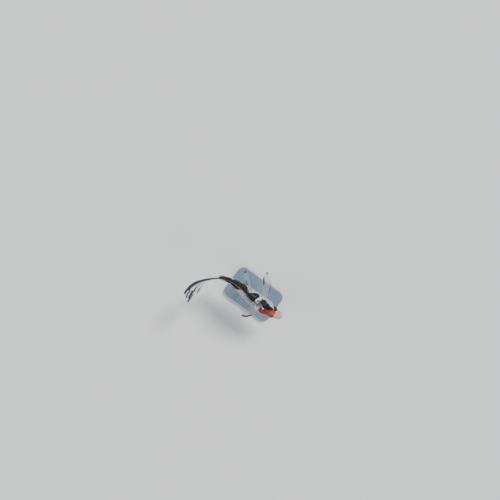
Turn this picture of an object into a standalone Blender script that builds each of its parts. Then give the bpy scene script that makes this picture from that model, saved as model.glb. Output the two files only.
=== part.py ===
"""Long-finned koi carp, a still display model held level by two short rods on a flat base.

The fish swims along +X, its left side is +Y and up is +Z. The origin is the middle of the base's
underside. Lengths along the fish are fractions of its standard length, from the snout (0) to the
root of the tail fin (1), and beyond 1 along the tail fin. Angles round a body section run from the
ridge of the back (0) over the left flank (90) to the belly (180), and back up the right flank.
"""

import math

import bmesh
import bpy
from mathutils import Matrix, Vector

# Driving dimensions, in metres
LENGTH = 0.130  # standard length, without the tail fin
AXIS_HEIGHT = 0.078  # the body's axis above the floor
BASE_UNDER = 44  # hundredths of the length: the base's middle is below this point of the axis
GAP = 0.0003  # the thin cut between neighbouring pieces
FIN_THICKNESS = 0.0007
SECTION_POWER = 2.2  # a section is an oval a little squarer than an ellipse
NOSE_ROUND = 0.045  # share of the length over which the snout rounds off

# The body's course seen from above: (share of length, heading in degrees)
HEADINGS = (
    (0.00, 5.0),
    (0.14, 4.0),
    (0.30, 0.5),
    (0.45, -3.5),
    (0.58, -4.0),
    (0.70, -0.5),
    (0.80, 7.0),
    (0.88, 17.0),
    (0.95, 29.0),
    (1.00, 37.0),
    (1.08, 45.0),
    (1.16, 53.0),
    (1.22, 61.0),
    (1.28, 76.0),
    (1.34, 91.0),
    (1.42, 96.0),
    (1.60, 98.0),
)
# The body's outline: (share of length, half width, height of the widest level, rise, drop)
PROFILE = (
    (0.00, 0.038, -0.026, 0.030, 0.028),
    (0.05, 0.053, -0.018, 0.049, 0.044),
    (0.135, 0.071, -0.006, 0.080, 0.074),
    (0.22, 0.092, 0.000, 0.109, 0.099),
    (0.31, 0.103, 0.002, 0.131, 0.117),
    (0.42, 0.101, 0.002, 0.152, 0.134),
    (0.55, 0.087, 0.000, 0.144, 0.131),
    (0.66, 0.070, 0.001, 0.116, 0.109),
    (0.79, 0.049, 0.004, 0.080, 0.077),
    (0.88, 0.035, 0.006, 0.061, 0.060),
    (0.96, 0.025, 0.006, 0.056, 0.057),
    (1.00, 0.017, 0.006, 0.057, 0.058),
)
# The gill opening, where the head ends: (degrees round the section, share of length)
GILL_LINE = ((0, 0.284), (50, 0.276), (92, 0.318), (125, 0.298), (158, 0.238), (180, 0.226))
STALK_START = 0.72  # where the trunk ends and the tail stalk begins

SKIN_WHITE = (0.80, 0.79, 0.76)
SKIN_BLACK = (0.02, 0.02, 0.03)
SKIN_RED = (0.62, 0.07, 0.03)
SNOUT_PINK = (0.78, 0.58, 0.48)
FIN_PALE = (0.72, 0.74, 0.76)
BASE_SLATE = (0.13, 0.19, 0.26)
ROD_STEEL = (0.62, 0.61, 0.58)


def curve_value(stations, at, column=1):
    """The value at a place on a smooth curve through the stations, level beyond both ends."""
    if at <= stations[0][0]:
        return stations[0][column]
    if at >= stations[-1][0]:
        return stations[-1][column]
    i = max(k for k, station in enumerate(stations) if station[0] <= at)

    def slope(a, b):
        a, b = max(a, 0), min(b, len(stations) - 1)
        return (stations[b][column] - stations[a][column]) / (stations[b][0] - stations[a][0])

    width = stations[i + 1][0] - stations[i][0]
    t = (at - stations[i][0]) / width
    start, end = stations[i][column], stations[i + 1][column]
    leave, arrive = slope(i - 1, i + 1) * width, slope(i, i + 2) * width
    return (
        (2 * t**3 - 3 * t**2 + 1) * start
        + (t**3 - 2 * t**2 + t) * leave
        + (3 * t**2 - 2 * t**3) * end
        + (t**3 - t**2) * arrive
    )


def course_from(start, heading_at, steps):
    """Points every hundredth of the length, going backwards from the start. Heading_at gives the degrees
    to the left of +X at a distance from the start, which is a share of the length."""
    points = [start]
    for step in range(steps):
        heading = math.radians(heading_at((step + 0.5) / 100))
        points.append(points[-1] - Vector((math.cos(heading), math.sin(heading))) * LENGTH / 100)
    return points


def body_course():
    """The body's axis from the snout to the tail's root and on, with the base's middle below it."""
    points = course_from(Vector((0.0, 0.0)), lambda share: curve_value(HEADINGS, share), 165)
    return [point - points[BASE_UNDER] for point in points]


COURSE = body_course()


def axis_frame(share):
    """The axis point at a share of the length, and the directions forward, left and up there."""
    step = min(max(share * 100, 0.0), len(COURSE) - 1.001)
    low = int(step)
    point = COURSE[low].lerp(COURSE[low + 1], step - low)
    heading = math.radians(curve_value(HEADINGS, share))
    forward = Vector((math.cos(heading), math.sin(heading), 0.0))
    left = Vector((-math.sin(heading), math.cos(heading), 0.0))
    return Vector((point.x, point.y, AXIS_HEIGHT)), forward, left, Vector((0.0, 0.0, 1.0))


def signed_power(value, power):
    return math.copysign(abs(value) ** power, value)


def body_point(share, degrees, grow=0.0):
    """A point of the body's surface, or that much outside it."""
    half_width, middle, rise, drop = (curve_value(PROFILE, share, column) for column in range(1, 5))
    nose = 1.0
    if share < NOSE_ROUND:
        nose = math.sqrt(max(0.0, 1 - (1 - max(share, 0.0) / NOSE_ROUND) ** 2))
    angle = math.radians(degrees)
    sine = signed_power(math.sin(angle), 2 / SECTION_POWER)
    cosine = signed_power(math.cos(angle), 2 / SECTION_POWER)
    tall = rise if cosine > 0 else drop
    point, forward, left, up = axis_frame(share)
    point = point + left * sine * (half_width * nose * LENGTH + grow)
    point = point + up * (middle * LENGTH + cosine * (tall * nose * LENGTH + grow))
    return point + forward * grow * (1 - nose)


def gill_line(degrees):
    around = degrees % 360
    return curve_value(GILL_LINE, min(around, 360 - around))


def to_object(name, bm, smooth=True):
    """Puts the finished mesh into the scene as an object of that name."""
    mesh = bpy.data.meshes.new(name)
    bm.to_mesh(mesh)
    bm.free()
    if smooth:
        mesh.shade_smooth()
    obj = bpy.data.objects.new(name, mesh)
    bpy.context.scene.collection.objects.link(obj)
    return obj


def paint(obj, colour, roughness=0.35, metallic=0.0):
    """Gives the object a material of its own."""
    material = bpy.data.materials.new(obj.name + "_finish")
    material.use_nodes = True
    shader = material.node_tree.nodes["Principled BSDF"]
    shader.inputs["Base Color"].default_value = (*colour, 1.0)
    shader.inputs["Roughness"].default_value = roughness
    shader.inputs["Metallic"].default_value = metallic
    material.diffuse_color = (*colour, 1.0)
    obj.data.materials.clear()
    obj.data.materials.append(material)
    return obj


def shaped_grid(name, columns, rows, place, tube=False):
    """A grid of faces with each point put at place(x, y), x and y from 0 to 1. A tube's two long sides
    are joined and its ends closed by fans."""
    bm = bmesh.new()
    bmesh.ops.create_grid(bm, x_segments=columns, y_segments=rows, size=0.5)
    for vert in bm.verts:
        vert.co = place(vert.co.x + 0.5, vert.co.y + 0.5)
    bmesh.ops.remove_doubles(bm, verts=bm.verts, dist=2e-6)
    if tube:
        ends = [edge for edge in bm.edges if edge.is_boundary]
        caps = bmesh.ops.holes_fill(bm, edges=ends, sides=0)["faces"]
        bmesh.ops.poke(bm, faces=caps)
    bmesh.ops.recalc_face_normals(bm, faces=bm.faces)
    return to_object(name, bm)


def helper(obj):
    """Marks a cutter, which isn't part of the model."""
    obj.hide_render = True
    obj.display_type = "WIRE"
    return obj


def cut_by(obj, cutter):
    modifier = obj.modifiers.new("cut", "BOOLEAN")
    modifier.operation = "DIFFERENCE"
    modifier.solver = "EXACT"
    modifier.object = cutter
    return obj


# ---------------------------------------------------------------- body


def body_length(name, front, rear, columns, rows, grow=0.0, crowd=1.0):
    """A length of the body between two cuts, each a share of the length for every angle. Its rings stand
    closer together at the front when crowd is over 1."""

    def place(x, y):
        degrees = 360 * y
        start, end = front(degrees) - grow / LENGTH, rear(degrees) + grow / LENGTH
        return body_point(start + (end - start) * x**crowd, degrees, grow)

    return shaped_grid(name, columns, rows, place, tube=True)


HALF_CUT = GAP / LENGTH / 2  # half of a thin cut, as a share of the length


def head(name="head", grow=0.0):
    return body_length(
        name, lambda _: 0.0, lambda d: gill_line(d) - HALF_CUT, 15, 36, grow, crowd=1.5
    )


def trunk(name="trunk", grow=0.0):
    return body_length(
        name, lambda d: gill_line(d) + HALF_CUT, lambda _: STALK_START - HALF_CUT, 13, 36, grow
    )


def tail_stalk(name="tail_stalk", grow=0.0):
    return body_length(
        name, lambda _: STALK_START + HALF_CUT, lambda _: 1.0, 7, 36, grow
    )


# ---------------------------------------------------------------- eyes and gill covers

EYE_RADIUS = 0.0034
EYE_PLACE = (0.134, 76)  # share of length, degrees round the section
EYE_DEPTH = 0.0013  # the eyeball's middle inside the skin

COVER_THICKNESS = 0.0016
COVER_PROUD = 0.0004
COVER_TOP, COVER_FOOT = 54, 152  # degrees round the section
COVER_FRONT = ((54, 0.232), (85, 0.206), (120, 0.196), (152, 0.205))


def eye(name, side, grow=0.0):
    """An eyeball, a little flattened from outside to inside."""
    centre = body_point(EYE_PLACE[0], side * EYE_PLACE[1], -EYE_DEPTH)
    bm = bmesh.new()
    bmesh.ops.create_uvsphere(bm, u_segments=16, v_segments=10, radius=EYE_RADIUS + grow)
    outward = (body_point(EYE_PLACE[0], side * EYE_PLACE[1], 0.001) - centre).normalized()
    turn = outward.to_track_quat("Z", "Y").to_matrix().to_4x4()
    flat = Matrix.Diagonal((1.0, 1.0, 0.88, 1.0))
    bmesh.ops.transform(bm, matrix=Matrix.Translation(centre) @ turn @ flat, verts=bm.verts)
    return to_object(name, bm)


def gill_cover(name, side, widen=0.0):
    """The plate over the gills: a curved patch of the head's side with an even thickness. Widened, it is
    the room that the head leaves for it."""
    extra = widen / LENGTH
    lean = math.degrees(widen / (0.09 * LENGTH))

    def place(x, y):
        top, foot = COVER_TOP - lean, COVER_FOOT + lean
        degrees = top + (foot - top) * y
        front = curve_value(COVER_FRONT, degrees) - extra
        rear = gill_line(degrees) - HALF_CUT + (0.03 if widen else 0.0)
        return body_point(front + (rear - front) * x, side * degrees, COVER_PROUD - COVER_THICKNESS / 2)

    cover = shaped_grid(name, 7, 9, place)
    thick = cover.modifiers.new("thickness", "SOLIDIFY")
    thick.thickness = COVER_THICKNESS + 2 * widen
    thick.offset = 0.0
    return cover


# ---------------------------------------------------------------- mouth

LIP_RADIUS = 0.0014
MOUTH_CORNER = 0.036  # share of the length
MOUTH_HALF_WIDTH = 0.040
LIPS = {"upper_lip": (0.0125, 0.033), "lower_lip": (-0.0125, 0.030)}  # level, reach
BARBEL_RADIUS = 0.00055
BARBELS = {"front": (0.041, 92, 0.0034), "rear": (0.057, 112, 0.0062)}  # share, degrees, length in metres


def swept_tube(name, route, radius_at, columns, rows):
    """A tube round a route, which is a function of 0 to 1, with a radius that may change on the way."""

    def place(x, y):
        here = route(x)
        along = (route(min(x + 0.01, 1.0)) - route(max(x - 0.01, 0.0))).normalized()
        side = along.cross(Vector((0.0, 0.0, 1.0))).normalized()
        over = side.cross(along)
        angle = math.tau * y
        return here + (side * math.cos(angle) + over * math.sin(angle)) * radius_at(x)

    return shaped_grid(name, columns, rows, place, tube=True)


def lip(name, level, reach):
    """A lip bent round the snout, its middle a level above or below the mouth's line. Its corners droop."""

    def route(x):
        sweep = math.radians(-80 + 160 * x)
        centre, forward, left, up = axis_frame(MOUTH_CORNER)
        height = PROFILE[0][2] + level - 0.010 * (1 - math.cos(sweep))
        bend = forward * math.cos(sweep) * reach + left * math.sin(sweep) * MOUTH_HALF_WIDTH
        return centre + (bend + up * height) * LENGTH

    return swept_tube(name, route, lambda x: LIP_RADIUS * (0.5 + 0.5 * math.sin(math.pi * x)), 10, 8)


def barbel(name, side, share, level, length):
    """A feeler that hangs from the side of the mouth, and curves back and down to a soft point."""
    degrees = side * level
    root = body_point(share, degrees, 0.0002)
    _, forward, left, up = axis_frame(share)

    def route(x):
        out = left * side * (0.30 * x - 0.2 * x * x)
        return root + (out - up * 0.75 * x - forward * 0.45 * x * x) * length

    return swept_tube(name, route, lambda x: BARBEL_RADIUS * (1 - 0.5 * x), 6, 6)


# ---------------------------------------------------------------- fins

ROOT_DEPTH = 0.0015  # how far a fin's sheet starts inside the body, before the body is cut from it


def thick_sheet(name, columns, rows, place):
    fin = shaped_grid(name, columns, rows, place)
    thick = fin.modifiers.new("thickness", "SOLIDIFY")
    thick.thickness = FIN_THICKNESS
    thick.offset = 0.0
    return fin


# The roots of the first and last ray (share of length, degrees round the section), and the rays' length
# from the first to the last as a share of the reach
PECTORAL = {
    "roots": ((0.316, 112), (0.350, 130)),
    "outline": ((0, 0.86), (0.3, 1.0), (0.65, 0.90), (1, 0.62)),
    "fan": 7,
}
PELVIC = {
    "roots": ((0.505, 150), (0.535, 163)),
    "outline": ((0, 0.88), (0.3, 1.0), (0.65, 0.90), (1, 0.66)),
    "fan": 5,
}
PAIRED_FINS = {
    "pectoral_fin_left": {**PECTORAL, "reach": 0.355, "sweep": 28, "droop": 10, "pitch": 38, "bow": 0.16},
    "pectoral_fin_right": {**PECTORAL, "reach": 0.300, "sweep": 21, "droop": 42, "pitch": 40, "bow": 0.12},
    "pelvic_fin_left": {**PELVIC, "reach": 0.300, "sweep": 54, "droop": 20, "pitch": 42, "bow": 0.07},
    "pelvic_fin_right": {**PELVIC, "reach": 0.300, "sweep": 80, "droop": 22, "pitch": 42, "bow": 0.05},
}


def paired_fin(name, room, roots, outline, fan, reach, sweep, droop, pitch, bow):
    """A pectoral or pelvic fin. Its rays fan out round a line that sweeps back from straight out, and
    droops, both in degrees. Pitch turns the fin about that line. The leading ray bows forwards the most,
    and all of them sag a little."""
    side = 1 if name.endswith("left") else -1
    _, forward, left, up = axis_frame(roots[0][0])
    sweep, droop, pitch = (math.radians(value) for value in (sweep, droop, pitch))
    flat = left * side * math.cos(sweep) - forward * math.sin(sweep)
    line = flat * math.cos(droop) - up * math.sin(droop)
    back = -forward * math.cos(sweep) - left * side * math.sin(sweep)
    chord = back * math.cos(pitch) - up * math.sin(pitch)
    chord = (chord - line * chord.dot(line)).normalized()
    bend = line.cross(chord).normalized()
    bend = bend if bend.z > 0 else -bend

    def place(x, y):
        share = roots[0][0] + (roots[1][0] - roots[0][0]) * y
        degrees = roots[0][1] + (roots[1][1] - roots[0][1]) * y
        root = body_point(share, side * degrees, -ROOT_DEPTH)
        turn = math.radians(fan * (2 * y - 1))
        ray = line * math.cos(turn) + chord * math.sin(turn)
        length = reach * LENGTH * curve_value(outline, y)
        outward = chord * bow * (1.3 * y - 1) * math.sin(math.pi * x)
        return root + (ray * x + outward + bend * 0.12 * x * x) * length

    return cut_by(thick_sheet(name, 8, 7, place), room)


def dorsal_fin(room):
    """The long fin along the back, half laid back, which follows the bend of the body."""
    start, end = 0.435, 0.790
    outline = ((0, 0.118), (0.08, 0.150), (0.25, 0.128), (0.6, 0.110), (0.85, 0.130), (1, 0.165))
    raise_angles = ((0, 52), (0.3, 40), (0.7, 28), (1, 16))
    lean = -0.05

    def place(x, y):
        share = start + (end - start) * y
        raised = math.radians(curve_value(raise_angles, y))
        travel = curve_value(outline, y) * x
        root = body_point(share, 0, -ROOT_DEPTH)
        behind, _, left, up = axis_frame(share + travel * math.cos(raised))
        rise = travel * (math.sin(raised) - 0.10 * x) * LENGTH
        return Vector((behind.x, behind.y, root.z)) + up * rise + left * lean * rise

    return cut_by(thick_sheet("dorsal_fin", 6, 14, place), room)


def anal_fin(room):
    """The short fin under the tail stalk, swept back."""
    start, end = 0.755, 0.835
    outline = ((0, 0.20), (0.15, 0.26), (0.5, 0.235), (1, 0.18))

    def place(x, y):
        share = start + (end - start) * y
        lowered = math.radians(38 - 14 * y)
        travel = curve_value(outline, y) * x
        root = body_point(share, 180, -ROOT_DEPTH)
        behind, _, left, up = axis_frame(share + travel * math.cos(lowered))
        drop = travel * math.sin(lowered) * (1 - 0.2 * x) * LENGTH
        return Vector((behind.x, behind.y, root.z)) - up * drop + left * 0.10 * travel * x * LENGTH

    return cut_by(thick_sheet("anal_fin", 7, 7, place), room)


# The tail fin's rays from the middle one to the outer edge: (share of the lobe, value)
UPPER_REACH = ((0, 0.44), (0.25, 0.55), (0.45, 0.60), (0.75, 0.57), (1, 0.535))
LOWER_REACH = ((0, 0.42), (0.3, 0.44), (0.7, 0.50), (1, 0.47))
# How far each ray's end leans to the fish's left, as a share of the length
UPPER_LEAN = ((0, -0.045), (0.45, -0.045), (1, 0.02))
LOWER_LEAN = ((0, 0.0), (1, -0.02))
# How steeply the outermost ray rises or falls, in degrees
UPPER_SPREAD, LOWER_SPREAD = 20, 34


TAIL_ROOT = 0.975  # share of the length where the tail fin's rays start, inside the stalk
BEND_LAG = 0.06  # how much further on the topmost ray bends round than the middle one


def ray_course(height):
    """The course of a tail ray seen from above, from -1 for the lowest ray to 1 for the topmost. It sets
    off along the body's course, and bends round later the higher it starts."""
    start = axis_frame(TAIL_ROOT)[0]

    def heading_at(travel):
        lag = BEND_LAG * height * min(travel / 0.15, 1.0)
        return curve_value(HEADINGS, TAIL_ROOT + travel - lag)

    return course_from(start.to_2d(), heading_at, 62)


def tail_lobe(name, side, reach, lean, spread, room):
    """Half of the tail fin. Its rays start down the end of the tail stalk and fan out up or down, while
    their ends lean to one side."""
    rows = 10
    courses = [ray_course(side * row / rows) for row in range(rows + 1)]

    def place(x, y):
        course = courses[round(y * rows)]
        slope = math.radians(3 + (spread - 3) * y)
        travel = curve_value(reach, y) * x
        step = min(travel * math.cos(slope) * 100, len(course) - 1.001)
        here = course[int(step)].lerp(course[int(step) + 1], step % 1)
        ahead = course[int(step)] - course[int(step) + 1]
        left = Vector((-ahead.y, ahead.x)).normalized()
        here = here + left * curve_value(lean, y) * x * LENGTH
        base = PROFILE[-1][2] * LENGTH + side * (0.5 * GAP + y * 0.050 * LENGTH)
        lift = side * travel * math.sin(slope) * (1 - 0.28 * x) * LENGTH
        return Vector((here.x, here.y, AXIS_HEIGHT + base + lift))

    return cut_by(thick_sheet(name, 13, rows, place), room)


# ---------------------------------------------------------------- stand

BASE_SIZE = (0.100, 0.064, 0.008)
BASE_CORNER = 0.012
BASE_EDGE = 0.0012
ROD_RADIUS = 0.0018
ROD_FOOT = ((0, 0), (2.8, 0), (2.8, 0.55), (1.7, 1.1), (1.0, 1.9))  # radius and height, in rod radii
ROD_SHARES = (0.36, 0.60)  # where along the fish the two rods meet its belly


def stand_base():
    """A flat plate with round corners and softened edges."""
    bm = bmesh.new()
    bmesh.ops.create_cube(bm, size=1.0)
    bmesh.ops.scale(bm, vec=BASE_SIZE, verts=bm.verts)
    bmesh.ops.translate(bm, vec=(0, 0, BASE_SIZE[2] / 2), verts=bm.verts)
    upright = [e for e in bm.edges if abs(e.verts[0].co.z - e.verts[1].co.z) > 1e-4]
    bmesh.ops.bevel(bm, geom=upright, offset=BASE_CORNER, segments=6, affect="EDGES", profile=0.5)
    rims = [
        e
        for e in bm.edges
        if abs(e.verts[0].co.z - e.verts[1].co.z) < 1e-6
        and abs(e.calc_face_angle(0.0) - math.pi / 2) < 0.02
        and e.verts[0].co.z > BASE_SIZE[2] / 2
    ]
    bmesh.ops.bevel(bm, geom=rims, offset=BASE_EDGE, segments=2, affect="EDGES", profile=0.5)
    return to_object("stand_base", bm, smooth=False)


def stand_rod(name, share, room):
    """A turned rod with a round foot, standing on the base and ending at the belly."""
    centre, _, _, _ = axis_frame(share)
    foot = BASE_SIZE[2] + GAP
    top = AXIS_HEIGHT - 0.08 * LENGTH  # inside the body, which is then cut from the rod
    profile = [(radius * ROD_RADIUS, foot + height * ROD_RADIUS) for radius, height in ROD_FOOT]
    profile += [(ROD_RADIUS, top), (0.0, top)]
    sides = 16

    def place(x, y):
        radius, height = profile[round(x * (len(profile) - 1))]
        angle = math.tau * y
        return Vector((centre.x + radius * math.cos(angle), centre.y + radius * math.sin(angle), height))

    return cut_by(shaped_grid(name, len(profile) - 1, sides, place, tube=False), room)


# ---------------------------------------------------------------- the whole fish


def build():
    for leftover in list(bpy.data.objects):
        bpy.data.objects.remove(leftover)

    head_room = helper(head("head_room", GAP))
    trunk_room = helper(trunk("trunk_room", GAP))
    stalk_room = helper(tail_stalk("tail_stalk_room", GAP))

    skull = paint(head(), SKIN_RED)
    paint(trunk(), SKIN_WHITE)
    paint(tail_stalk(), SKIN_BLACK)

    for side, word in ((1, "left"), (-1, "right")):
        cut_by(skull, helper(eye("eye_room_" + word, side, GAP)))
        cut_by(skull, helper(gill_cover("gill_room_" + word, side, GAP)))
        paint(eye("eye_" + word, side), SKIN_BLACK, roughness=0.08)
        paint(cut_by(gill_cover("gill_cover_" + word, side), trunk_room), SKIN_WHITE)
        for place, (share, level, length) in BARBELS.items():
            feeler = barbel("barbel_" + place + "_" + word, side, share, level, length)
            paint(cut_by(feeler, head_room), SNOUT_PINK)

    for name, (level, reach) in LIPS.items():
        paint(cut_by(lip(name, level, reach), head_room), SNOUT_PINK)

    for name, shape in PAIRED_FINS.items():
        paint(paired_fin(name, trunk_room, **shape), FIN_PALE)
    paint(cut_by(dorsal_fin(trunk_room), stalk_room), FIN_PALE)
    paint(anal_fin(stalk_room), FIN_PALE)
    paint(tail_lobe("tail_fin_upper", 1, UPPER_REACH, UPPER_LEAN, UPPER_SPREAD, stalk_room), FIN_PALE)
    paint(tail_lobe("tail_fin_lower", -1, LOWER_REACH, LOWER_LEAN, LOWER_SPREAD, stalk_room), FIN_PALE)

    paint(stand_base(), BASE_SLATE, roughness=0.45)
    for name, share in zip(("stand_rod_front", "stand_rod_rear"), ROD_SHARES):
        paint(stand_rod(name, share, trunk_room), ROD_STEEL, roughness=0.3, metallic=1.0)


build()
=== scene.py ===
"""A young long-finned koi carp, as a life-size display model held level over a flat base by two rods.

The fish swims along +X with its left side towards +Y. Places on it are a share of its standard length,
from the snout (0) to the root of the tail fin (1), and degrees round the body, from the ridge of the back
(0) over the left flank (90) to the belly (180). Degrees on the right flank are negative.
"""

import math

import bpy
import numpy as np
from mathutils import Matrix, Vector


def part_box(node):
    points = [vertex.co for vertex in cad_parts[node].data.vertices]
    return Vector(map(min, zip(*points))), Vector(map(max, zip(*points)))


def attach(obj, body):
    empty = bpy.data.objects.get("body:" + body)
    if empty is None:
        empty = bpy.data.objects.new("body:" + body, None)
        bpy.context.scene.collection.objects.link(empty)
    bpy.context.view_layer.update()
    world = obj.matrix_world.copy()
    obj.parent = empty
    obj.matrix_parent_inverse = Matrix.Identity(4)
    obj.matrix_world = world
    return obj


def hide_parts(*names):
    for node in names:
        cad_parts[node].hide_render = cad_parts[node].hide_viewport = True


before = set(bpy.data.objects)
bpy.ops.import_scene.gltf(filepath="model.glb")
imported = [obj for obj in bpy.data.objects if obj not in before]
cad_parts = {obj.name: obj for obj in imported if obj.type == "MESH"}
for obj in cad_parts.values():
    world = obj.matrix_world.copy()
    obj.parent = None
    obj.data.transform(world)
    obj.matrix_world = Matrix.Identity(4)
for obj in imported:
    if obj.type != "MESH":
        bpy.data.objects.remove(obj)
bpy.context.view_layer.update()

# ---------------------------------------------------------------- skin
# The hide is one soft, slippery surface over head, trunk and tail stalk, with the lips, gill covers and
# feelers in it. On the head it is bare and lies at the solid's surface, and behind the gills it lies a
# scale's depth inside. It is a grid drawn over the form of the body, and then raised and sunk.

LENGTH = 0.130  # standard length in metres
AXIS_HEIGHT = 0.078  # the body's axis above the floor
BASE_UNDER = 44  # hundredths of the length: the base's middle is below this point of the axis
SECTION_POWER = 2.2  # a section is an oval a little squarer than an ellipse
NOSE_ROUND = 0.045  # share of the length over which the snout rounds off
TAPER_START = 0.955  # share of the length where the stalk starts to thin out into the tail fin
TAPER_CUT, TAPER_POWER = 0.995, 2.5  # share of its width's square lost at the stalk's end, and the curve
COAT_DEPTH = 0.00032  # how far inside the solid the skin lies where scales cover it

# The body's course seen from above, and past 1 the tail fin's: (share of length, heading in degrees)
HEADINGS = (
    (0.00, 5.0),
    (0.14, 4.0),
    (0.30, 0.5),
    (0.45, -3.5),
    (0.58, -4.0),
    (0.70, -0.5),
    (0.80, 7.0),
    (0.88, 17.0),
    (0.95, 29.0),
    (1.00, 37.0),
    (1.08, 45.0),
    (1.16, 53.0),
    (1.22, 61.0),
    (1.28, 76.0),
    (1.34, 91.0),
    (1.42, 96.0),
    (1.60, 98.0),
)
# The body's outline: (share of length, half width, height of the widest level, rise, drop)
PROFILE = (
    (0.00, 0.038, -0.026, 0.030, 0.028),
    (0.05, 0.053, -0.018, 0.049, 0.044),
    (0.135, 0.071, -0.006, 0.080, 0.074),
    (0.22, 0.092, 0.000, 0.109, 0.099),
    (0.31, 0.103, 0.002, 0.131, 0.117),
    (0.42, 0.101, 0.002, 0.152, 0.134),
    (0.55, 0.087, 0.000, 0.144, 0.131),
    (0.66, 0.070, 0.001, 0.116, 0.109),
    (0.79, 0.049, 0.004, 0.080, 0.077),
    (0.88, 0.035, 0.006, 0.061, 0.060),
    (0.96, 0.025, 0.006, 0.056, 0.057),
    (1.00, 0.017, 0.006, 0.057, 0.058),
)
# The gill opening, where the bare head ends: (degrees round the section, share of length)
GILL_LINE = ((0, 0.284), (50, 0.276), (92, 0.318), (125, 0.298), (158, 0.238), (180, 0.226))


def curve_value(stations, at, column=1):
    """Values on a smooth curve through the stations, level beyond both ends."""
    places = np.array([station[0] for station in stations], float)
    values = np.array([station[column] for station in stations], float)
    last = len(places) - 1
    before = np.maximum(np.arange(last + 1) - 1, 0)
    after = np.minimum(np.arange(last + 1) + 1, last)
    slopes = (values[after] - values[before]) / (places[after] - places[before])
    at = np.clip(at, places[0], places[-1])
    i = np.clip(np.searchsorted(places, at, side="right") - 1, 0, last - 1)
    width = places[i + 1] - places[i]
    t = (at - places[i]) / width
    return (
        (2 * t**3 - 3 * t**2 + 1) * values[i]
        + (t**3 - 2 * t**2 + t) * slopes[i] * width
        + (3 * t**2 - 2 * t**3) * values[i + 1]
        + (t**3 - t**2) * slopes[i + 1] * width
    )


def step_up(low, high, value):
    """Rises smoothly from 0 at low to 1 at high."""
    t = np.clip((value - low) / (high - low), 0, 1)
    return t * t * (3 - 2 * t)


def band(low, high, turn, end, value):
    """Rises smoothly from 0 at low to 1 at high, and falls back to 0 from turn to end."""
    return step_up(low, high, value) * (1 - step_up(turn, end, value))


def mound(distance, width, aside=0.0, aside_width=1.0):
    """A rounded rise, which is 1 in its middle and next to nothing at twice its width from there."""
    return np.exp(-((distance / width) ** 2) - (aside / aside_width) ** 2)


def ridge(distance, middle, width, height):
    """How high a ridge stands at this distance. Where the height is negative it is a groove."""
    return height * mound(distance - middle, width)


def unit(directions):
    length = np.linalg.norm(directions, axis=-1, keepdims=True)
    return directions / np.maximum(length, 1e-12)


def flat_direction(headings):
    return np.stack([np.cos(headings), np.sin(headings), 0 * headings], axis=-1)


COURSE_STEPS = 165  # hundredths of the length from the snout to the end of the course
strides = flat_direction(np.radians(curve_value(HEADINGS, (np.arange(COURSE_STEPS) + 0.5) / 100)))
COURSE = np.concatenate([np.zeros((1, 3)), -np.cumsum(strides, axis=0) * LENGTH / 100])
COURSE -= COURSE[BASE_UNDER]
UP = np.array([0.0, 0.0, 1.0])


def axis_frame(share):
    """The axis points at these shares of the length, and the directions forward and left there."""
    share = np.asarray(share, float)
    steps = np.arange(len(COURSE))
    point = np.stack([np.interp(share * 100, steps, COURSE[:, k]) for k in range(3)], axis=-1)
    heading = np.radians(curve_value(HEADINGS, share))
    return point + UP * AXIS_HEIGHT, flat_direction(heading), flat_direction(heading + math.pi / 2)


def signed_power(value, power):
    return np.sign(value) * np.abs(value) ** power


def body_point(share, degrees, grow=0.0):
    """Points of the body's surface, or that far outside it. The stalk's end narrows to a blade."""
    share, degrees, grow = np.broadcast_arrays(
        np.asarray(share, float), np.asarray(degrees, float), np.asarray(grow, float)
    )
    half_width, middle, rise, drop = (curve_value(PROFILE, share, column) for column in range(1, 5))
    nose = np.sqrt(1 - (1 - np.clip(share / NOSE_ROUND, 0, 1)) ** 2)
    past_taper = np.clip((share - TAPER_START) / (1 - TAPER_START), 0, 1)
    taper = np.sqrt(1 - TAPER_CUT * past_taper**TAPER_POWER)
    angle = np.radians(degrees)
    sine = signed_power(np.sin(angle), 2 / SECTION_POWER)
    cosine = signed_power(np.cos(angle), 2 / SECTION_POWER)
    tall = np.where(cosine > 0, rise, drop)
    point, forward, left = axis_frame(share)
    across = sine * (half_width * nose * taper * LENGTH + grow)
    over = middle * LENGTH + cosine * (tall * nose * LENGTH + grow)
    ahead = grow * (1 - nose)
    return point + left * across[..., None] + UP * over[..., None] + forward * ahead[..., None]


def gill_line(degrees):
    around = np.abs((np.asarray(degrees, float) + 180) % 360 - 180)
    return curve_value(GILL_LINE, around)


def edit(piece, *steps):
    """Runs edit-mode operators on the whole of one piece."""
    bpy.ops.object.select_all(action="DESELECT")
    bpy.context.view_layer.objects.active = piece
    piece.select_set(True)
    bpy.ops.object.mode_set(mode="EDIT")
    bpy.ops.mesh.select_all(action="SELECT")
    for step in steps:
        step()
    bpy.ops.object.mode_set(mode="OBJECT")


def numbers(piece, name, values):
    """Keeps one number for each point of the mesh, which materials read by this name."""
    layer = piece.data.attributes.get(name) or piece.data.attributes.new(name, "FLOAT", "POINT")
    layer.data.foreach_set("value", np.asarray(values, np.float32))


def read_all(items, what, size):
    """What every point or corner of a mesh holds under this name, as rows of so many numbers."""
    flat = np.empty(len(items) * size)
    items.foreach_get(what, flat)
    return flat.reshape(-1, size)


def read_numbers(piece, name):
    return read_all(piece.data.attributes[name].data, "value", 1)[:, 0]


def points_of(piece):
    return read_all(piece.data.vertices, "co", 3)


def move_points(piece, points):
    piece.data.vertices.foreach_set("co", np.asarray(points, float).ravel())
    piece.data.update()


def add(name, primitive, **settings):
    """Adds one of Blender's primitives with nothing else selected, and names it."""
    bpy.ops.object.select_all(action="DESELECT")
    primitive(**settings)
    piece = bpy.context.object
    piece.name = piece.data.name = name
    return piece


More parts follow.
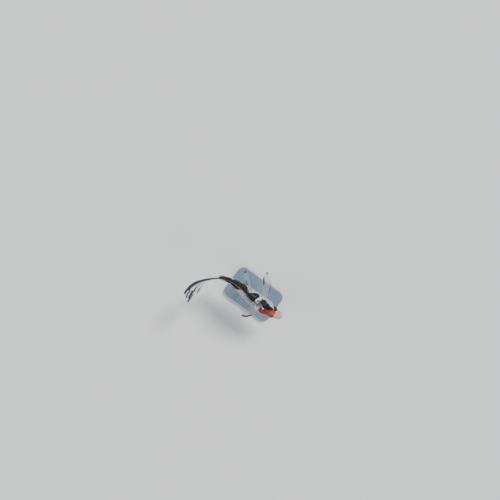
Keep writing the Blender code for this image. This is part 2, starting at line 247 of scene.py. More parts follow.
def shaped_grid(name, columns, rows, place):
    """A grid put at place(x, y), where x and y run from 0 to 1. Place also gives numbers to keep on the
    points. Edges that fall together are joined, which closes tubes and sheets."""
    piece = add(name, bpy.ops.mesh.primitive_grid_add, x_subdivisions=columns, y_subdivisions=rows, size=1.0)
    flat = points_of(piece)
    points, kept = place(flat[:, 0] + 0.5, flat[:, 1] + 0.5)
    for word, values in kept.items():
        numbers(piece, word, values)
    move_points(piece, points)
    edit(
        piece,
        lambda: bpy.ops.mesh.remove_doubles(threshold=2e-6),
        lambda: bpy.ops.mesh.normals_make_consistent(inside=False),
    )
    piece.data.shade_smooth()
    return piece


HEAD_RINGS, REAR_RINGS, AROUND = 176, 134, 256
GROOVE_STEPS = (0.0010, 0.0024, 0.0045, 0.0080)  # rings of the gill slit, as shares behind its edge
SLIT_RINGS = HEAD_RINGS + len(GROOVE_STEPS)
HIDE_RINGS = SLIT_RINGS + REAR_RINGS
CROWDING = 1.5  # the rings lie closer together towards the snout
STALK_NOTCH = 0.018  # how much sooner the hide ends at the stalk's ridges than on its sides


def hide_place(x, y):
    """Rings that follow the gill line, from the snout to it and from there to the stalk's end."""
    degrees = 360 * y
    ring = np.round(x * HIDE_RINGS).astype(int)
    edge = gill_line(degrees)
    start = edge + np.array((0.0,) + GROOVE_STEPS)[np.clip(ring - HEAD_RINGS, 0, len(GROOVE_STEPS))]
    behind = np.clip((ring - SLIT_RINGS) / REAR_RINGS, 0, 1)
    end = 1.0 - STALK_NOTCH * np.cos(np.radians(degrees)) ** 2
    share = np.where(
        ring <= HEAD_RINGS,
        edge * np.clip(ring / HEAD_RINGS, 0, 1) ** CROWDING,
        start + (end - start) * behind,
    )
    points = body_point(share, degrees)
    axis, _, left = axis_frame(share)
    across = ((points - axis) * left).sum(axis=1)
    # The last ring is pressed shut to an upright edge
    shut = (ring == HIDE_RINGS) * across
    return points - left * shut[:, None], {"share": share, "around": degrees}


skin = shaped_grid("skin", HIDE_RINGS, AROUND, hide_place)

share = read_numbers(skin, "share")
degrees = (read_numbers(skin, "around") + 180) % 360 - 180  # negative on the right flank
flank = np.abs(degrees)
points = points_of(skin)
rise = np.zeros(len(points))  # how far each point of the skin stands proud of the form


def flank_line(at_degrees, at_share, slope, radius):
    """Metres from a slanting line on each flank, whose degrees grow by the slope over the fish's length."""
    return (flank - at_degrees - slope * (share - at_share)) * math.radians(1) * radius


# Gill covers: a plate that stands proud from the cheek's groove to its soft rear edge, and a slit behind
# it. A groove is given as how far its middle lies behind the line it follows, its width and its height.
COVER_FRONT = ((54, 0.232), (85, 0.206), (120, 0.196), (152, 0.205))  # degrees, share
COVER_PROUD = 0.00055
COVER_RISE = (-0.0004, 0.0016)  # metres behind its front over which the plate rises
SLIT_COURSE = (  # metres behind the cover's edge, and the height there
    (0.0, COVER_PROUD),
    (0.00013, -0.0010),
    (0.00031, -0.0011),
    (0.00058, -0.0008),
    (0.00104, -0.0005),
    (0.0017, -COAT_DEPTH),
)
CHEEK_GROOVE = (0.0, 0.0008, -0.00026)
CHEEK_CREASE = (-0.0042, 0.0009, -0.00018)
HEM_GROOVE = (-0.0013, 0.00042, -0.00022)
BONE_SEAM = (0.0, 0.0005, -0.00022)
SCALLOPS, SCALLOP_DEPTH = 13, 0.0012
# Degrees round the body over which the slit, and the cheek's grooves, begin and end
GILL_OPEN = (48, 62, 166, 177)
CHEEK_SHOWN = (66, 104, 150, 164)

gill_open = band(*GILL_OPEN, flank)
behind_edge = (share - gill_line(degrees)) * LENGTH
before_plate = (share - curve_value(COVER_FRONT, flank)) * LENGTH
plate = step_up(*COVER_RISE, before_plate) * (behind_edge <= 1e-6)
slit = np.interp(behind_edge, *zip(*SLIT_COURSE))
# On the nape the bare skin ends in scallops between the first scales
scallop = SCALLOP_DEPTH * np.abs(np.sin(np.radians(degrees) * SCALLOPS))
nape = -COAT_DEPTH * step_up(0.0001, 0.0012, behind_edge - scallop)
covered = COVER_PROUD * plate * gill_open
rise += np.where(behind_edge > 1e-6, slit * gill_open + nape * (1 - gill_open), covered)
cheek_fade = band(*CHEEK_SHOWN, flank)
for groove in (CHEEK_GROOVE, CHEEK_CREASE):
    rise += ridge(before_plate, *groove) * cheek_fade
# The plate's soft hem, and the seam between its upper and lower bones
rise += ridge(behind_edge, *HEM_GROOVE) * gill_open
from_seam = flank_line(121, at_share=0.21, slope=300, radius=0.013)
seamed = plate * gill_open * (behind_edge < -0.001)
rise += ridge(from_seam, *BONE_SEAM) * seamed

# Mouth: a slit round the snout, drooping at the corners, between two fleshy lips. A lip or fold is given
# as its level and its width, in shares of the length, and its height in metres.
MOUTH_CORNER, MOUTH_HALF_WIDTH, MOUTH_REACH, MOUTH_DROOP = 0.036, 0.040, 0.033, 0.010
MOUTH_SLIT = (0.0, 0.0024, -0.00085)
MOUTH_DARK = 0.0030  # half the width of the dark line between the lips, as a share of the length
CORNER_FULLNESS = 0.62  # how full the lips still are at the corners, from 0 to 1
UPPER_LIP, LOWER_LIP = (0.0115, 0.0098, 0.00118), (-0.01075, 0.0090, 0.00098)
LIP_FOLDS = ((0.0330, 0.0042, -0.00028), (-0.0310, 0.0040, -0.000224))
FOLDS_END, LIPS_END = 0.09, 0.05  # shares of the length where the folds end, and the lips' swelling
LIPS_FORWARD = 0.55  # how far the lips' swelling is turned level, from 0 to 1
MOUTH_ENDS = (62, 98)  # degrees of its sweep over which the mouth fades into the cheek

corner, ahead, leftward = (value.reshape(3) for value in axis_frame(MOUTH_CORNER))
offset = (points - corner) / LENGTH
sweep = np.arctan2(offset @ leftward / MOUTH_HALF_WIDTH, offset @ ahead / MOUTH_REACH)
mouth_line = PROFILE[0][2] - MOUTH_DROOP * (1 - np.cos(sweep))
level = offset[:, 2] - mouth_line
fade = 1 - step_up(*np.radians(MOUTH_ENDS), np.abs(sweep))
frontal = np.cos(np.clip(sweep, -math.pi / 2, math.pi / 2))
fullness = CORNER_FULLNESS + (1 - CORNER_FULLNESS) * frontal
lips = np.zeros(len(points))
for middle, width, height in (UPPER_LIP, LOWER_LIP):
    lip = mound(level - middle, width * fullness)
    rise += fade * fullness * height * lip
    lips += lip
rise += fade * ridge(level, *MOUTH_SLIT)
for fold in LIP_FOLDS:
    rise += fade * ridge(level, *fold) * (share < FOLDS_END)
# Painted shade darkens the skin along the mouth's slit
mouth_slit_shade = fade * mound(level, MOUTH_DARK)
lip_flush = fade * np.clip(lips, 0, 1)

# Nostrils: on each side a small round pit before a wider one, with a flap of skin between
NOSTRIL = (0.0840, 49)  # share, degrees
NOSTRIL_RIM = (0.0, 0.0016, 0.00020)
NOSTRIL_FORMS = (  # how far its middle lies ahead of the nostril's, half its length and width, its height
    (0.00075, 0.00036, 0.00042, -0.00075),
    (-0.00062, 0.00046, 0.00074, -0.00090),
    (0.00016, 0.00024, 0.00070, 0.00042),
)
# Eyes: the hide dips behind the eyeball, with a soft rim and a crease round it, and is black around
EYE_PLACE = (0.134, 76)
EYE_RADIUS, EYE_DEPTH = 0.0034, 0.0013
SOCKET_RADIUS, SOCKET_DEPTH = 0.93 * EYE_RADIUS, 0.0016
SOCKET_WALL = (-0.0006, 0.00012)  # metres from the socket's rim over which its wall rises
SOCKET_RINGS = ((0.00048, 0.00036, 0.00026), (0.0014, 0.00042, -0.00018))
# The black skin round each eye: how far behind and above the eye its middle lies, half its length, and
# half its height on each side
LID_BEHIND, LID_ABOVE, LID_LENGTH = 0.0011, 0.0016, 0.0054
LID_HEIGHT = {1: 0.0060, -1: 0.0050}
LID_SIZE = 4  # millimetres from its middle to its edge, about
# Brow and cheek: (share, degrees, width, height)
SWELLINGS = ((0.142, 44, 0.0042, 0.00022), (0.172, 112, 0.0040, 0.00020))
MARK_REACH = 4.0  # millimetres from a marking's edge within which its distance is kept

pit_shade = np.zeros(len(points))
lid_black = np.full(len(points), -MARK_REACH)
for side in (1, -1):
    here = body_point(NOSTRIL[0], side * NOSTRIL[1])
    _, nose_ahead, _ = axis_frame(NOSTRIL[0])
    toward = (points - here) @ nose_ahead
    away = np.linalg.norm(points - here - toward[:, None] * nose_ahead, axis=1)
    rise += ridge(np.hypot(toward, away), *NOSTRIL_RIM)
    forms = [mound(toward - middle, long, away, wide) for middle, long, wide, _ in NOSTRIL_FORMS]
    for form, (_, _, _, height) in zip(forms, NOSTRIL_FORMS):
        rise += height * form
    front_pit, rear_pit, flap = forms
    # The nostrils' pits are darkened with painted shade, less where the flap stands
    pit_shade = np.maximum(pit_shade, np.clip(1.3 * (front_pit + rear_pit) - 0.9 * flap, 0, 1))

    eye_centre = body_point(EYE_PLACE[0], side * EYE_PLACE[1], -EYE_DEPTH)
    from_rim = np.linalg.norm(points - eye_centre, axis=1) - SOCKET_RADIUS
    rise -= SOCKET_DEPTH * (1 - step_up(*SOCKET_WALL, from_rim))
    for ring in SOCKET_RINGS:
        rise += ridge(from_rim, *ring)
    above = points[:, 2] - eye_centre[2] - LID_ABOVE
    behind_eye = (share - EYE_PLACE[0]) * LENGTH - LID_BEHIND
    reach = np.hypot(behind_eye / LID_LENGTH, above / LID_HEIGHT[side])
    inside = np.clip((1 - reach) * LID_SIZE, -MARK_REACH, MARK_REACH)
    lid_black = np.maximum(lid_black, np.where(side * degrees > 0, inside, -MARK_REACH))
    for at_share, at_degrees, width, height in SWELLINGS:
        away = np.linalg.norm(points - body_point(at_share, side * at_degrees), axis=1)
        rise += ridge(away, 0.0, width, height)

# Throat: the folds of the gill membranes under the head
THROAT_DEGREES = (164, 171)
THROAT_SPAN = (0.09, 0.12, 0.205, 0.222)  # shares of the length
THROAT_FOLD = (0.0, 0.00035, -0.00020)
for fold_degrees in THROAT_DEGREES:
    from_fold = flank_line(fold_degrees, at_share=0.20, slope=-60, radius=0.011)
    rise += ridge(from_fold, *THROAT_FOLD) * band(*THROAT_SPAN, share)
# The stalk's end lies deeper still, under the fleshy root of the tail's rays
STALK_SINKS, STALK_DEPTH = 0.975, 0.4 * COAT_DEPTH
rise -= STALK_DEPTH * step_up(STALK_SINKS, 1.0, share)
# The lips swell more forwards than up and down
outward = read_all(skin.data.vertices, "normal", 3)
outward[:, 2] *= 1 - LIPS_FORWARD * fade * (share < LIPS_END)
move_points(skin, points + unit(outward) * rise[:, None])

# Markings: black and red patches on a white ground. A patch is told by its right and left edge, in
# degrees, along the fish, and a spot by its middle, its half length and half height in metres.
RED_CAP = (
    (0.104, -12, -4),
    (0.116, -38, 14),
    (0.138, -64, 27),
    (0.170, -72, 36),
    (0.200, -78, 34),
    (0.222, -82, 14),
    (0.245, -80, 0),
    (0.266, -75, -10),
    (0.288, -68, -17),
    (0.306, -60, -9),
    (0.320, -48, -22),
)
NAPE_PATCH = (
    (0.158, 24, 29),
    (0.178, 10, 35),
    (0.205, -5, 34),
    (0.228, -9, 38),
    (0.252, -11, 44),
    (0.278, -7, 43),
    (0.300, -3, 49),
    (0.318, 4, 51),
    (0.336, 1, 49),
    (0.358, 14, 40),
)
BACK_PATCH = (
    (0.406, 36, 56),
    (0.424, 6, 63),
    (0.440, -13, 63),
    (0.470, -15, 57),
    (0.492, -13, 47),
    (0.516, -12, 33),
    (0.545, -11, 20),
    (0.572, -10, 22),
    (0.600, -9, 52),
    (0.618, -8, 66),
    (0.640, -8, 98),
    (0.662, -16, 96),
    (0.690, -40, 74),
    (0.715, -56, 90),
    (0.745, -62, 96),
    (0.785, -46, 82),
    (0.812, -38, 52),
    (0.838, -42, 84),
    (0.858, -60, 96),
    (0.874, -80, 100),
    (0.888, -58, 100),
    (0.905, -34, 100),
    (0.945, -22, 98),
    (0.985, -12, 92),
    (1.050, -10, 90),
)
BLACK_SPOTS = (
    (0.560, 64, 0.0035, 0.0016),
    (0.868, -72, 0.0026, 0.0034),
    (0.438, -12, 0.0016, 0.0012),
    (0.374, 12, 0.0030, 0.0010),
    (0.700, 128, 0.0052, 0.0024),
    (0.480, 118, 0.0040, 0.0021),
    (0.600, -124, 0.0058, 0.0024),
    (0.745, -104, 0.0034, 0.0018),
    (0.395, -96, 0.0022, 0.0014),
)


def degree_width(share):
    """About how long a degree round the body is, in metres."""
    girth = curve_value(PROFILE, share, 1) + curve_value(PROFILE, share, 3)
    return girth * LENGTH * math.pi / 360


def patch(stations, share, degrees):
    """How far inside the patch's edge each place is, in millimetres, and negative outside it."""
    right, left = curve_value(stations, share, 1), curve_value(stations, share, 2)
    sideways = np.minimum(degrees - right, left - degrees) * degree_width(share)
    lengthways = np.minimum(share - stations[0][0], stations[-1][0] - share) * LENGTH
    return np.clip(np.minimum(sideways, lengthways) * 1000, -MARK_REACH, MARK_REACH)


def spot(middle, at_degrees, half_length, half_height, share, degrees):
    along = (share - middle) * LENGTH / half_length
    up = (degrees - at_degrees) * degree_width(share) / half_height
    inside = (1 - np.hypot(along, up)) * min(half_length, half_height)
    return np.clip(inside * 1000, -MARK_REACH, MARK_REACH)


def mark(piece, share, degrees):
    """Keeps the markings of these places on the points of a piece of skin or coat."""
    black = np.maximum(patch(NAPE_PATCH, share, degrees), patch(BACK_PATCH, share, degrees))
    for shape in BLACK_SPOTS:
        black = np.maximum(black, spot(*shape, share, degrees))
    numbers(piece, "black", black)
    numbers(piece, "red", patch(RED_CAP, share, degrees))
    numbers(piece, "share", share)


mark(skin, share, degrees)
# Painted shade: the skin is darker in the grooves of cheek, hem and seam, in the gill slit behind the cover,
# in the nostrils' pits and along the mouth's slit
CREASE_SHADE, SEAM_SHADE = 0.30, 0.26  # how much darker the skin is in the cheek's groove and the others
CREASE_WIDTH, SLIT_SHADE = 0.0007, 0.0012  # metres to both sides of the groove, and behind the cover's edge
PINK_END = (0.095, 0.160)  # shares of the length over which the snout's pink fades
groove_shade = CREASE_SHADE * mound(before_plate, CREASE_WIDTH) * cheek_fade
groove_shade += SEAM_SHADE * mound(behind_edge - HEM_GROOVE[0], HEM_GROOVE[1]) * gill_open
groove_shade += SEAM_SHADE * mound(from_seam, BONE_SEAM[1]) * seamed
gill_slit_shade = gill_open * (behind_edge > 5e-5) * mound(behind_edge, SLIT_SHADE)
numbers(skin, "black", np.maximum(read_numbers(skin, "black"), lid_black))
numbers(skin, "flush", np.clip(1 - step_up(*PINK_END, share) + 0.5 * lip_flush, 0, 1))
numbers(skin, "shade", np.clip(np.maximum(pit_shade, mouth_slit_shade) + gill_slit_shade + groove_shade, 0, 1))
# The upper cheeks are painted greyer and bluer, a painted shade where the head's sides fall away from the
# light
CHEEK_SHADE_MIDDLE, CHEEK_SHADE_SPREAD = 64, 27  # degrees
CHEEK_SHADE_SPAN = (0.150, 0.185, 0.265, 0.300)  # shares of the length
numbers(skin, "cheek_shade", mound(flank - CHEEK_SHADE_MIDDLE, CHEEK_SHADE_SPREAD) * band(*CHEEK_SHADE_SPAN, share))


def connect(made, inputs):
    """Sets a node's inputs, or links them where the value is another node's output."""
    for socket, value in inputs.items():
        if isinstance(value, bpy.types.NodeSocket):
            made.id_data.links.new(value, made.inputs[socket])
        else:
            made.inputs[socket].default_value = value


def node(tree, kind, inputs=None, **settings):
    made = tree.nodes.new(kind)
    for name, value in settings.items():
        setattr(made, name, value)
    connect(made, inputs or {})
    return made


def feed(made, **inputs):
    """Connects inputs whose names are written with underscores for their spaces."""
    connect(made, {name.replace("_", " "): value for name, value in inputs.items()})


def maths(operation, *values):
    """A sum on outputs and numbers, in the tree that the outputs belong to."""
    tree = next(value.id_data for value in values if isinstance(value, bpy.types.NodeSocket))
    return node(tree, "ShaderNodeMath", dict(enumerate(values)), operation=operation).outputs[0]


def times(first, *others):
    for other in others:
        first = maths("MULTIPLY", first, other)
    return first


def ramp(value, low, high, to_low=0.0, to_high=1.0):
    """The value's rise from low to high, as a smooth rise between two others."""
    inputs = {"Value": value, "From Min": low, "From Max": high, "To Min": to_low, "To Max": to_high}
    made = node(value.id_data, "ShaderNodeMapRange", inputs, interpolation_type="SMOOTHSTEP")
    return made.outputs["Result"]


def tint(share, first, second):
    """A colour that goes from the first to the second with the share."""
    return node(share.id_data, "ShaderNodeMix", {0: share, 6: first, 7: second}, data_type="RGBA").outputs[2]


def painted(ground, *coats):
    """A ground with coats over it, each given as how much of it there is and its colour."""
    for share, colour in coats:
        ground = tint(share, ground, colour)
    return ground


def bumps(height, strength, distance):
    """The surface's direction where this height is pressed into it."""
    inputs = {"Strength": strength, "Distance": distance, "Height": height}
    return node(height.id_data, "ShaderNodeBump", inputs).outputs["Normal"]


def number_of(tree, name):
    return node(tree, "ShaderNodeAttribute", attribute_name=name).outputs["Fac"]


def noise(tree, scale, detail=3.0, roughness=0.55, stretch=None):
    """A cloudy pattern in the fish's own metres, from 0 to 1."""
    place = node(tree, "ShaderNodeTexCoord").outputs["Object"]
    if stretch:
        place = node(tree, "ShaderNodeMapping", {"Vector": place, "Scale": stretch}).outputs[0]
    inputs = {"Vector": place, "Scale": scale, "Detail": detail, "Roughness": roughness}
    return node(tree, "ShaderNodeTexNoise", inputs).outputs["Fac"]


def new_group(name, inputs, outputs):
    """A shader group whose sockets are (name, kind, value), and outputs (name, kind)."""
    tree = bpy.data.node_groups.new(name, "ShaderNodeTree")
    for label, kind, value in inputs:
        tree.interface.new_socket(label, in_out="INPUT", socket_type=kind).default_value = value
    for label, kind in outputs:
        tree.interface.new_socket(label, in_out="OUTPUT", socket_type=kind)
    return tree, tree.nodes.new("NodeGroupInput"), tree.nodes.new("NodeGroupOutput")


def new_material(name):
    """A material, its tree and its main shader, without anything else in it."""
    material = bpy.data.materials.new(name)
    material.use_nodes = True
    tree = material.node_tree
    return material, tree, tree.nodes["Principled BSDF"]


def add_map(piece, name, places):
    """Gives the piece a map, as a place on the square for each corner of its faces."""
    layer = piece.data.uv_layers.new(name=name)
    layer.uv.foreach_set("vector", places.astype(np.float32).ravel())


def bake_patch(piece, corner, size):
    """Gives the piece a bake map of its own, its grid laid over a part of the square."""
    grid_map = read_all(piece.data.uv_layers[0].uv, "vector", 2)
    add_map(piece, "OFBake", np.array(corner) + grid_map * np.array(size))


def put_on(piece, material):
    piece.data.materials.clear()
    piece.data.materials.append(material)


FLOAT, COLOUR = "NodeSocketFloat", "NodeSocketColor"
GROUND_WHITE = (0.66, 0.65, 0.63, 1)
GROUND_CREAM = (0.60, 0.57, 0.54, 1)
GROUND_MOTTLE = (0.52, 0.50, 0.52, 1)
GROUND_GREY = (0.46, 0.48, 0.50, 1)
SUMI_BLACK = (0.006, 0.006, 0.009, 1)
SUMI_BLUE = (0.022, 0.027, 0.045, 1)
HI_CRIMSON = (0.185, 0.004, 0.005, 1)
HI_SCARLET = (0.36, 0.022, 0.010, 1)
HI_ORANGE = (0.42, 0.050, 0.007, 1)
SNOUT_PINK = (0.50, 0.235, 0.175, 1)
CHEEK_SHADE_GREY = (0.23, 0.27, 0.34, 1)
# the dark brown of the painted shade in grooves, pits, the gill slit and the mouth
SHADE_BROWN = (0.055, 0.022, 0.022, 1)
WANDER = 2.6  # millimetres over which the edges of the markings wander, at most

# The markings' colours, which skin and scales share. Edge blurs the patches' outlines, in millimetres.
marking_tree, marking_in, marking_out = new_group(
    "koi_markings",
    [("Ground", COLOUR, GROUND_WHITE), ("Edge", FLOAT, 0.16)],
    [("Color", COLOUR), ("Black", FLOAT), ("Red", FLOAT)],
)
wander = times(maths("SUBTRACT", noise(marking_tree, 420.0, 4.0, 0.6), 0.5), WANDER)
blur = marking_in.outputs["Edge"]
black, red = (
    ramp(maths("ADD", number_of(marking_tree, word), wander), times(blur, -1.0), blur)
    for word in ("black", "red")
)
hi = painted(
    tint(ramp(number_of(marking_tree, "share"), 0.12, 0.20), HI_ORANGE, HI_CRIMSON),
    (ramp(noise(marking_tree, 900.0), 0.35, 0.75, 0.0, 0.45), HI_SCARLET),
)
sumi = tint(ramp(noise(marking_tree, 260.0), 0.45, 0.75, 0.0, 0.6), SUMI_BLACK, SUMI_BLUE)
feed(
    marking_out,
    Color=painted(marking_in.outputs["Ground"], (red, hi), (black, sumi)),
    Black=black,
    Red=red,
)

skin_material, tree, shader = new_material("koi_hide")
ground = painted(
    GROUND_WHITE,
    (ramp(noise(tree, 220.0, 5.0), 0.35, 0.75), GROUND_CREAM),
    (ramp(noise(tree, 75.0, 4.0), 0.42, 0.66, 0.0, 0.55), GROUND_MOTTLE),
    # painted shade over the upper cheeks
    (times(number_of(tree, "cheek_shade"), ramp(noise(tree, 170.0, 4.0), 0.30, 0.70, 0.55, 0.95)), CHEEK_SHADE_GREY),
    (times(number_of(tree, "flush"), ramp(noise(tree, 300.0), 0.2, 0.7, 0.75, 1.0)), SNOUT_PINK),
    (ramp(noise(tree, 3200.0, 2.0), 0.66, 0.78, 0.0, 0.30), GROUND_GREY),
)
hide = node(tree, "ShaderNodeGroup", {"Ground": ground, "Edge": 0.20}, node_tree=marking_tree)
pigment = maths("MAXIMUM", hide.outputs["Black"], hide.outputs["Red"])
# The painted shade of grooves, pits, gill slit and mouth darkens the colour towards dark brown
feed(
    shader,
    Base_Color=tint(times(number_of(tree, "shade"), 0.92), hide.outputs["Color"], SHADE_BROWN),
    Roughness=ramp(noise(tree, 500.0), 0.2, 0.8, 0.22, 0.34),
    Normal=bumps(noise(tree, 2600.0, 4.0, 0.6), 0.12, 0.0002),
    Coat_Weight=maths("MULTIPLY_ADD", pigment, -0.18, 0.26),
    Coat_Roughness=0.06,
    Specular_IOR_Level=0.20,
)
put_on(skin, skin_material)
bake_patch(skin, (0.005, 0.005), (0.99, 0.93))

# Feelers: two short soft ones on the upper lip and two longer ones at the corners of the mouth
BARBEL_RADIUS = 0.00055
BARBEL_TIP = 0.14  # share of its length over which a feeler's tip rounds off
BARBELS = {"front": (0.041, 92, 0.0034), "rear": (0.057, 112, 0.0062)}  # share, degrees, length in metres


def tube_place(route, radius_at):
    """Places for a grid that wraps round a route, which is a function of 0 to 1."""

    def place(x, y):
        along = unit(route(np.minimum(x + 0.01, 1.0)) - route(np.maximum(x - 0.01, 0.0)))
        side = unit(np.cross(along, UP))
        over = np.cross(side, along)
        angle = math.tau * y
        ring = side * np.cos(angle)[:, None] + over * np.sin(angle)[:, None]
        return route(x) + ring * radius_at(x)[:, None], {}

    return place


def feeler_route(at_share, at_degrees, side, size):
    """A feeler's course: out from the lip, down, and more and more backwards."""
    root = body_point(at_share, side * at_degrees, -0.0003)
    _, forward, left = axis_frame(at_share)

    def route(x):
        x = np.asarray(x)[:, None]
        out = left * side * (0.30 * x - 0.2 * x * x)
        return root + (out - UP * 0.75 * x - forward * 0.45 * x * x) * size

    return route


def feeler_radius(x):
    past = np.clip((x - 1 + BARBEL_TIP) / BARBEL_TIP, 0, 1)
    return BARBEL_RADIUS * (1.05 - 0.5 * x) * np.sqrt(1 - past**2)


SIDES = ((1, "left"), (-1, "right"))  # which way along Y each flank faces, and its word
feelers = []
for side, word in SIDES:
    for place_word, (at_share, at_degrees, size) in BARBELS.items():
        wrapped = tube_place(feeler_route(at_share, at_degrees, side, size), feeler_radius)
        feeler = shaped_grid(f"barbel_{place_word}_{word}", 30, 14, wrapped)
        count = len(feeler.data.vertices)
        mark(feeler, np.full(count, at_share), np.full(count, float(side * at_degrees)))
        numbers(feeler, "flush", np.full(count, 1.0))
        numbers(feeler, "shade", np.zeros(count))
        put_on(feeler, skin_material)
        bake_patch(feeler, (0.01 + 0.245 * len(feelers), 0.95), (0.23, 0.04))
        feelers.append(feeler)

bpy.ops.object.select_all(action="DESELECT")
for piece in feelers + [skin]:
    piece.select_set(True)
bpy.context.view_layer.objects.active = skin
bpy.ops.object.join()
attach(skin, "root")
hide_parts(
    "head", "trunk", "tail_stalk", "gill_cover_left", "gill_cover_right", "upper_lip", "lower_lip",
    "barbel_front_left", "barbel_front_right", "barbel_rear_left", "barbel_rear_right",
)

# ---------------------------------------------------------------- scales
# Thin bony scales in rows along each side, which overlap backwards as roof tiles do. A small curved leaf
# is modelled once and laid on the body at each seat, its front end buried under the scales before it.

SCALE_PITCH = 0.00262  # from one scale to the next in a row, at the shoulder
ROW_HEIGHT = 0.00345  # from one row to the next, at the deepest part of the body
SCALE_ACROSS, SCALE_ALONG = 7, 6  # points of one scale's upper side
ROWS = 8  # rows above and below the one on the lateral line
LATERAL_LINE = 90  # degrees round the body
ROW_CLOSING = 0.42  # how closely the rows follow the narrowing girth, from 0 to 1
BEHIND_GILL = 0.2  # pitches at least from the edge of the gill cover to the first seats
SCALE_START, SCALE_END = 0.205, 0.988
SCALE_LENGTH = 2.25  # pitches, since more than half of each scale lies under the scales before it
SCALE_HALF_WIDTH = 0.84  # row heights
SEAT_BACK = 0.56  # share of a scale's length that lies before its seat
SCALE_SLOPE, SCALE_CURL = 0.00040, 0.00006  # how far a scale's rear end rises, and its edges bend down
RIDGE_SCALES = ((0.290, 0.432), (0.80, 1.0))  # where scales straddle the ridge of the back, as shares
BACK_FIN_SPAN = (0.44, 0.83)  # shares of the length beside the fin of the back
ROOM, ROOM_BY_FIN = 0.62, 0.30  # row heights from a row's middle to the ridge, and to the fin of the back
LENGTH_VARIES, WIDTH_VARIES, LIFT_VARIES = 0.03, 0.02, 0.000012  # spreads, two as shares and one in metres
RIDGE_LIFT = 0.00003  # how much higher the scales on the ridge lie
# Rings round one flank, each with the arc's length from the ridge of the back to every degree of it
girth_shares = np.linspace(0.19, 1.03, 85)
girth_degrees = np.linspace(0, 180, 181)
ring_points = body_point(girth_shares[:, None], girth_degrees[None, :])
ring_arcs = np.cumsum(np.linalg.norm(np.diff(ring_points, axis=1), axis=2), axis=1)
ring_arcs = np.concatenate([np.zeros((len(girth_shares), 1)), ring_arcs], axis=1)
half_girth = np.max(ring_arcs[:, -1])


def row_height(share):
    """The rows draw together towards the tail, but less than the body narrows."""
    girth = np.interp(share, girth_shares, ring_arcs[:, -1])
    return ROW_HEIGHT * (girth / half_girth) ** ROW_CLOSING


def ring_value(share, look_up):
    """Interpolates between the rings on both sides of each share."""
    spacing = girth_shares[1] - girth_shares[0]
    at = np.clip((share - girth_shares[0]) / spacing, 0, len(girth_shares) - 1.001)
    low = at.astype(int)
    result = np.empty(len(share))
    for ring in np.unique(low):
        chosen = low == ring
        t = at[chosen] - ring
        result[chosen] = (1 - t) * look_up(ring, chosen) + t * look_up(ring + 1, chosen)
    return result


def degrees_at(share, arc):
    """The degrees round the body at an arc's length from the ridge, which may pass over either ridge."""
    whole = ring_value(share, lambda ring, chosen: ring_arcs[ring, -1])
    past = arc > whole
    folded = np.where(past, 2 * whole - arc, np.abs(arc))

    def look_up(ring, chosen):
        return np.interp(folded[chosen], ring_arcs[ring], girth_degrees)

    degrees = ring_value(share, look_up)
    return np.where(past, 360 - degrees, np.where(arc < 0, -degrees, degrees))


def lateral_arc(share):
    return ring_value(share, lambda ring, chosen: ring_arcs[ring, LATERAL_LINE])


def scale_columns():
    """Shares of the length half a pitch apart, with even ones for even rows and odd ones for odd rows."""
    shares = [SCALE_START]
    while shares[-1] < SCALE_END:
        size = float(row_height(shares[-1])) / ROW_HEIGHT
        shares.append(shares[-1] + 0.5 * SCALE_PITCH * size / LENGTH)
    return shares


def scale_seats(side):
    """Where one side's scales sit: share, row, column and whether it is on the ridge of the back. The
    lateral line is row 0, and the left side has the ridge's scales."""
    seats = []
    columns = scale_columns()
    for column, share in enumerate(columns):
        at = np.array([share])
        whole = float(ring_value(at, lambda ring, chosen: ring_arcs[ring, -1])[0])
        height = float(row_height(share))
        for row in range(-ROWS, ROWS + 1):
            if (row + column) % 2:
                continue
            arc = float(lateral_arc(at)[0]) + row * height
            near_fin = BACK_FIN_SPAN[0] < share < BACK_FIN_SPAN[1] and row < 0
            room = (ROOM_BY_FIN if near_fin else ROOM) * height
            if not room < arc < whole - ROOM * height:
                continue
            turned = float(degrees_at(at, np.array([arc]))[0])
            if share > float(gill_line(turned)) + BEHIND_GILL * SCALE_PITCH / LENGTH:
                seats.append((share, row, column, False))
    if side > 0:
        for column, share in enumerate(columns):
            on_ridge = any(start < share < end for start, end in RIDGE_SCALES)
            if column % 2 == 0 and on_ridge:
                seats.append((share, 0, column, True))
    share, row, column, on_ridge = np.array(seats, float).T
    return share, row, column, on_ridge > 0


across, along = np.meshgrid(np.linspace(-1, 1, SCALE_ACROSS), np.linspace(0, 1, SCALE_ALONG), indexing="ij")
# A leaf is a little narrower at its ends than in its middle, and its rear edge is round
leaf_across = across * (0.86 + 0.14 * np.sin(math.pi * along))
leaf_along = along * (0.60 + 0.40 * np.sqrt(1 - 0.97 * across**2)) - SEAT_BACK
leaf_lift = SCALE_SLOPE * (leaf_along + SEAT_BACK) - SCALE_CURL * across**2
leaf_lift -= SCALE_CURL * (leaf_along > 0.30) * along**3
leaf = {
    "across": np.append(leaf_across.ravel(), 0.0),
    "along": np.append(leaf_along.ravel(), -0.08),
    "lift": np.append(leaf_lift.ravel(), 0.00010),
    "u": np.append(across.ravel() * 0.5 + 0.5, 0.5),
    "v": np.append(along.ravel(), 0.5),
}
LEAF_POINTS = SCALE_ACROSS * SCALE_ALONG + 1


def leaf_faces():
    """The faces of one scale: its upper side as squares, and its underside as a fan round a middle point."""
    grid = np.arange(SCALE_ACROSS * SCALE_ALONG).reshape(SCALE_ACROSS, SCALE_ALONG)
    squares = np.stack([grid[:-1, :-1], grid[1:, :-1], grid[1:, 1:], grid[:-1, 1:]], axis=-1)
    rim = np.concatenate([grid[:-1, 0], grid[-1, :-1], grid[:0:-1, -1], grid[0, :0:-1]])
    fan = np.stack([rim, np.full(len(rim), grid.size), np.roll(rim, -1)], axis=-1)
    return squares.reshape(-1, 4), fan


def per_point(values):
    """A value for each scale, repeated for each of its points."""
    return np.repeat(values, LEAF_POINTS)


MAP_MARGIN = 0.02  # before and behind the unwrapped flank on its map
PATCH_SIZE = (1.80, 0.88)  # one scale's patch on the map, in columns and in rows


